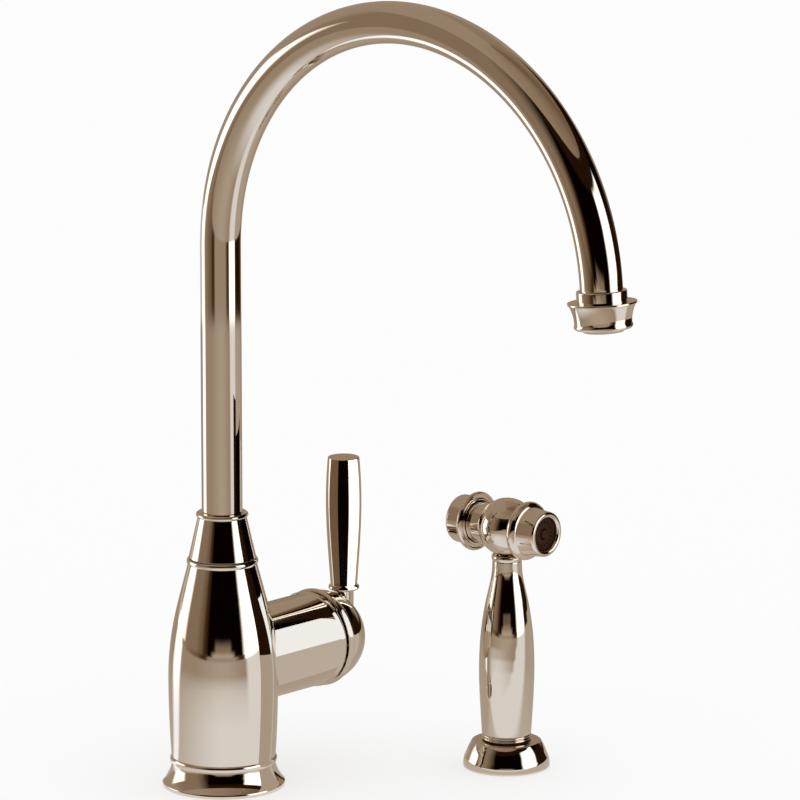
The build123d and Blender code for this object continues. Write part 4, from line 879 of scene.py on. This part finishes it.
class FAUCET_OT_seals(bpy.types.Operator):
    """Mould the O-rings, the flat seals and the glide ring"""

    bl_idname = "faucet.seals"
    bl_label = "Seals"

    def execute(self, context):
        dress_washers(0.3, ("base_seal", "base_seal_moulded", 24.55, COLUMN),
                      ("spray_holder_seal", "holder_seal_moulded", 14.25, SPRAY),
                      ("glide_ring", "glide_ring_moulded", 11.3, COLUMN))
        foot, top = levels("spout_o_rings")
        section, reach = 1.95, high("spout_o_rings").x
        heights = (foot + section / 2, top - section / 2)
        pair = [round_ring(reach - section, reach, height) for height in heights]
        dress(turned(*pair), "swivel_o_rings_moulded", "spout_o_rings", COLUMN)
        neck = washer(3.85, 5.0, *levels("spray_neck_o_ring"), 0.5)
        dress(turned(neck, steps=64), "neck_o_ring_moulded", "spray_neck_o_ring", SPRAY)
        face = washer(7.5, 8.25, *forward("spray_face_seal"), 0.3)
        dress(turned(face), "face_seal_moulded", "spray_face_seal", HEAD)
        return {"FINISHED"}


# ------------------------------------------------------------------ studio
# Rings of cards round and over the table, which only mirror images show. Angles are degrees from
# the camera's side of the table, positive to the right; each card has one tone, and its edges fade
# into the next. There are twelve tones: white, and greys that turn brown as they get darker.
WHITE = "#FFFFFF"
PEARL = "#C8D0DA"
SILVER = "#B2B4B8"
ASH = "#98938E"
STONE = "#8A8278"
FAWN = "#7C7064"
UMBER = "#746658"
CLAY = "#6B5D4F"
BARK = "#584838"
PEAT = "#302012"
COAL = "#180C04"
BLACK = "#040100"
TABLE_NEAR = [(-180, -130, STONE), (-118, -103, PEARL), (-99, -90, ASH), (-10, 82, SILVER),
              (90, 100, ASH), (120, 180, STONE)]
TABLE_MIDDLE = [(-180, -130, FAWN), (-120, -103, WHITE), (-97, -60, FAWN), (-10, 10, STONE), (42, 47, FAWN),
                (54, 82, SILVER), (88, 120, STONE), (145, 180, FAWN)]
TABLE_FAR = [(-180, -168, SILVER), (-150, -132, ASH), (-126, -107, WHITE), (-98, -92, UMBER),
             (-62, -58, BARK), (-46, -38, PEAT), (-30, 25, FAWN), (36, 46, PEAT), (50, 83, WHITE),
             (88, 135, COAL), (144, 146, BARK), (160, 162, STONE), (176, 180, SILVER)]
WALL_BACK = [(-180, -170, COAL), (-164, -130, FAWN)]
WALL_LEFT = [(-120, -98, WHITE), (-90, -62, CLAY), (-50, -48, BARK), (-41, -39, PEAT)]
WALL_FOOT = [*WALL_BACK, *WALL_LEFT, (-32, -27, BLACK), (-20, 20, STONE), (27, 42, BLACK),
             (50, 83, WHITE), (88, 180, COAL)]
WALL_LOW = [*WALL_BACK, *WALL_LEFT, (-32, -20, BLACK), (-14, 14, CLAY), (20, 42, BLACK),
            (50, 84, WHITE), (89, 180, COAL)]
WALL_MIDDLE = [(-180, -130, FAWN), *WALL_LEFT, (-32, 42, BLACK), (50, 88, WHITE), (93, 130, COAL),
               (142, 180, UMBER)]
WALL_HIGH = [(-180, -120, FAWN), (-100, -60, CLAY), (-34, 44, BLACK), (50, 88, WHITE), (93, 140, BLACK),
             (150, 180, FAWN)]
WALL_TOP = [(-180, -120, FAWN), (-100, -60, CLAY), (-34, 140, COAL), (150, 180, FAWN)]
CEILING = [(-180, -60, FAWN), (-20, 0, UMBER), (30, 40, CLAY), (90, 100, BARK), (150, 180, UMBER)]
# Where one ring of cards fades into the next, in metres out from the column or up the wall.
TABLE_FADES = [(0.1, 0.42), (1.15, 1.22)]
WALL_FADES = [(0.02, 0.12), (0.12, 0.34), (0.8, 1.0), (1.5, 1.7)]
ROOM = 2.4                   # metres from the column to the wall of cards, and up to the ceiling
TABLE_HOLE = 0.034           # metres from the column to the table's cards, clear of the base flange
TABLE_LIFT = 0.0008          # metres from the worktop up to them
CEILING_HOLE = 0.001         # metres left open over the column, where the cards would end in a pole
METRES = Matrix.Scale(MM, 4) # for a mesh that is made in metres

# Small curved screens round the lever's handle: name, tone, and the angles they run between.
SCREENS = [("lever_black_flag", BLACK, -27, 20), ("lever_brown_flag", BARK, -76, -27),
           ("lever_white_card", WHITE, 22, 84)]
SCREEN_REACH = 13            # mm from the handle's axis
SCREEN_FOOT, SCREEN_TOP = 81, 154
# Small flat cards beside the barrel and the body: name, tone, the two ends, foot and top, in mm.
BARREL_ENDS = (15, -28.5), (76, -28.5)
BODY_ENDS = (14, -46), (14, -26.5)
GREY_TOP, WHITE_TOP = BARREL_HEIGHT + 4, BARREL_HEIGHT + 36
FLAT_CARDS = [("barrel_black_flag", BLACK, *BARREL_ENDS, WHITE_TOP, BARREL_HEIGHT + 110),
              ("barrel_white_card", PEARL, *BARREL_ENDS, GREY_TOP, WHITE_TOP),
              ("barrel_grey_card", ASH, BARREL_ENDS[0], (92, -28.5), 4, GREY_TOP),
              ("body_dark_flag", COAL, *BODY_ENDS, 67.5, 190),
              ("body_brown_card", STONE, *BODY_ENDS, 4, 67.5)]

FLOOR_HALF = 15              # metres from the column to the floor's edges
FLOOR_DROP = 0.1             # mm from the flange's underside down to the floor
FLOOR_WHITE = 0.6            # share of plain white in what the camera and the mirror images see of it
CAMERA_PLACE = (-2.06476, -1.93765, 0.78623)          # in metres
CAMERA_TURN = (radians(78.17), 0, radians(-48.58))


def card_ramp(tree, around, cards):
    """Colours of a ring of cards, by the angle round the table."""
    ramp = add(tree, "ValToRGB", {}, {"Fac": around})
    stops = ramp.color_ramp.elements
    stops.remove(stops[1])
    for number, (start, end, code) in enumerate(cards):
        for degrees in (start, end):
            place = (degrees + 180) / 360
            stop = stops[0] if number == 0 and degrees == start else stops.new(place)
            stop.position = place
            stop.color = (*linear(code), 1)
    return ramp.outputs["Color"]


def card_material(name, rings, fades, along, own):
    """Light of one or more rings of cards that fade into each other along OUT or UP."""
    tree = material_tree(name)
    where = add(tree, "TexCoord").outputs["Object"]
    faced = add(tree, "Mapping", {"Rotation": (0, 0, -own.towards_camera)}, {"Vector": where})
    around = add(tree, "TexGradient", {"gradient_type": "RADIAL"}, {"Vector": faced}).outputs["Fac"]
    if along == "OUT":
        flat = add(tree, "VectorMath", {"operation": "MULTIPLY", 1: (1, 1, 0)}, {0: where})
        far = add(tree, "VectorMath", {"operation": "LENGTH"}, {0: flat}).outputs["Value"]
    else:
        far = add(tree, "SeparateXYZ", {}, {"Vector": where}).outputs["Z"]
    colour = card_ramp(tree, around, rings[0])
    for (start, end), cards in zip(fades, rings[1:]):
        fade = {"interpolation_type": "SMOOTHSTEP", "From Min": start, "From Max": end}
        passed = add(tree, "MapRange", fade, {"Value": far})
        colour = add(tree, "Mix", {"data_type": "RGBA"},
                     {0: passed, 6: colour, 7: card_ramp(tree, around, cards)}).outputs[2]
    light = add(tree, "Emission", {"Strength": own.card_light}, {"Color": colour})
    add(tree, "OutputMaterial", {}, {"Surface": light})
    return name


def only_in_mirrors(piece):
    for sight in ("camera", "diffuse", "shadow", "transmission", "volume_scatter"):
        setattr(piece, "visible_" + sight, False)


def card_ring(name, material, start, end):
    """Ring of cards from one (radius, height) to another, in metres."""
    bm = bmesh.new()
    verts = [bm.verts.new((radius, 0, height)) for radius, height in (start, end)]
    spin_up(bm, verts + [bm.edges.new(verts)], 96)
    only_in_mirrors(settle(bm, name, material, METRES))


def upright(bm, place, foot, top):
    """Upright edge at a place of the worktop, and its two vertices."""
    verts = [bm.verts.new((*place, height)) for height in (foot, top)]
    return verts, bm.edges.new(verts)


def small_card(bm, name, code, own, where=Matrix()):
    """Finish a small card: lit on the side that faces the mesh's own axis, and clear from behind."""
    tree = material_tree(name)
    side = add(tree, "NewGeometry").outputs["Backfacing"]
    light = add(tree, "Emission", {"Color": (*linear(code), 1), "Strength": own.card_light})
    clear = add(tree, "BsdfTransparent")
    blend = add(tree, "MixShader", {}, {0: side, 1: light, 2: clear})
    add(tree, "OutputMaterial", {}, {"Surface": blend})
    for face in bm.faces:
        face.normal_update()
        if face.normal.dot(face.calc_center_median() * Vector((1, 1, 0))) > 0:
            face.normal_flip()
    only_in_mirrors(settle(bm, name, name, where))


def screen(name, code, start, end, own):
    """Small curved screen round the lever's handle, between two angles from the camera's side."""
    bm = bmesh.new()
    verts, edge = upright(bm, (SCREEN_REACH, 0), SCREEN_FOOT, SCREEN_TOP)
    turn = Matrix.Rotation(own.towards_camera + radians(start), 3, "Z")
    bmesh.ops.rotate(bm, verts=verts, cent=(0, 0, 0), matrix=turn)
    spin_up(bm, [*verts, edge], 24, radians(end - start), closed=False)
    handle = middle("lever_handle")
    small_card(bm, name, code, own, Matrix.Translation((handle.x, handle.y, 0)))


def flat_card(name, code, start, end, foot, top, own):
    """Small upright card between two places on the worktop."""
    bm = bmesh.new()
    edge = upright(bm, start, foot, top)[1]
    grown = bmesh.ops.extrude_edge_only(bm, edges=[edge])["geom"]
    bmesh.ops.translate(bm, verts=verts_in(grown), vec=(end[0] - start[0], end[1] - start[1], 0))
    small_card(bm, name, code, own)


def lay_floor(own):
    """Pale floor that keeps the shadow, and that looks nearly white to the camera and in mirror images."""
    tree = material_tree("pale_floor")
    ray = add(tree, "LightPath")
    seen = ray.outputs["Is Camera Ray"]
    for kind in ("Is Glossy Ray", "Is Transmission Ray"):
        seen = add(tree, "Math", {"operation": "ADD", "use_clamp": True}, {0: seen, 1: ray.outputs[kind]})
    part = add(tree, "Math", {"operation": "MULTIPLY", 1: FLOOR_WHITE}, {0: seen})
    matt = add(tree, "BsdfDiffuse", {"Color": (*own.floor, 1)})
    bright = add(tree, "Emission", {"Color": (*own.backdrop, 1), "Strength": 1.0})
    blend = add(tree, "MixShader", {}, {0: part, 1: matt, 2: bright})
    add(tree, "OutputMaterial", {}, {"Surface": blend})
    bm = bmesh.new()
    bmesh.ops.create_grid(bm, x_segments=1, y_segments=1, size=FLOOR_HALF)
    settle(bm, "floor", "pale_floor", Matrix.Translation((0, 0, -FLOOR_DROP)) @ METRES)


class FAUCET_OT_studio(bpy.types.Operator):
    """Lay the pale floor, stand the cards round the faucet, and set the soft light and the camera"""

    bl_idname = "faucet.studio"
    bl_label = "Studio"

    def execute(self, context):
        own = context.scene.faucet_studio
        scene = context.scene
        table = card_material("studio_table_cards", [TABLE_NEAR, TABLE_MIDDLE, TABLE_FAR],
                              TABLE_FADES, "OUT", own)
        wall = card_material("studio_wall_cards", [WALL_FOOT, WALL_LOW, WALL_MIDDLE, WALL_HIGH, WALL_TOP],
                             WALL_FADES, "UP", own)
        ceiling = card_material("studio_ceiling_cards", [CEILING], [], "UP", own)
        card_ring("table_cards", table, (TABLE_HOLE, TABLE_LIFT), (ROOM, TABLE_LIFT))
        card_ring("wall_cards", wall, (ROOM, 0.0), (ROOM, ROOM))
        card_ring("ceiling_cards", ceiling, (ROOM, ROOM), (CEILING_HOLE, ROOM))
        for card in SCREENS:
            screen(*card, own)
        for card in FLAT_CARDS:
            flat_card(*card, own)
        lay_floor(own)

        world = bpy.data.worlds.new("soft_white_room")
        world.use_nodes = True
        world.node_tree.nodes.clear()
        room = add(world.node_tree, "Background", {"Color": (1, 1, 1, 1), "Strength": 1.0})
        add(world.node_tree, "OutputWorld", {}, {"Surface": room})
        scene.world = world
        scene.view_settings.view_transform = "Standard"

        camera = bpy.data.cameras.new("camera")
        camera.lens = own.lens
        camera.sensor_width = 36
        viewer = bpy.data.objects.new("camera", camera)
        viewer.location = CAMERA_PLACE
        viewer.rotation_euler = CAMERA_TURN
        scene.collection.objects.link(viewer)
        scene.camera = viewer
        return {"FINISHED"}


# ------------------------------------------------------------------ panel and registration
GROUPS = {"faucet_body": FaucetBodySizes, "faucet_spout": FaucetSpoutSizes, "faucet_lever": FaucetLeverSizes,
          "faucet_spray": FaucetSpraySizes, "faucet_fixings": FaucetFixingSizes,
          "faucet_finishes": FaucetFinishes, "faucet_studio": FaucetStudio}
STEPS = [(FAUCET_OT_finishes, "faucet_finishes"), (FAUCET_OT_base_and_neck, "faucet_body"),
         (FAUCET_OT_spout, "faucet_spout"), (FAUCET_OT_outlet, None), (FAUCET_OT_lever, "faucet_lever"),
         (FAUCET_OT_spray_stand, "faucet_spray"), (FAUCET_OT_spray_grip, None), (FAUCET_OT_spray_head, None),
         (FAUCET_OT_spray_button, None), (FAUCET_OT_fixings, "faucet_fixings"), (FAUCET_OT_seals, None),
         (FAUCET_OT_studio, "faucet_studio")]


class FAUCET_PT_maker(bpy.types.Panel):
    """Sizes, colours and steps of the faucet"""

    bl_label = "Faucet"
    bl_idname = "FAUCET_PT_maker"
    bl_space_type = "VIEW_3D"
    bl_region_type = "UI"
    bl_category = "Faucet"

    def draw(self, context):
        for step, group in STEPS:
            box = self.layout.box()
            box.operator(step.bl_idname)
            if group:
                own = getattr(context.scene, group)
                for name in GROUPS[group].__annotations__:
                    box.prop(own, name)


def register():
    for name, group in GROUPS.items():
        bpy.utils.register_class(group)
        setattr(bpy.types.Scene, name, PointerProperty(type=group))
    for step, _ in STEPS:
        bpy.utils.register_class(step)
    bpy.utils.register_class(FAUCET_PT_maker)


def unregister():
    bpy.utils.unregister_class(FAUCET_PT_maker)
    for step, _ in reversed(STEPS):
        bpy.utils.unregister_class(step)
    for name, group in reversed(GROUPS.items()):
        delattr(bpy.types.Scene, name)
        bpy.utils.unregister_class(group)


def main():
    register()
    for step, _ in STEPS:
        getattr(bpy.ops.faucet, step.bl_idname.split(".")[1])()


if __name__ == "__main__":
    main()
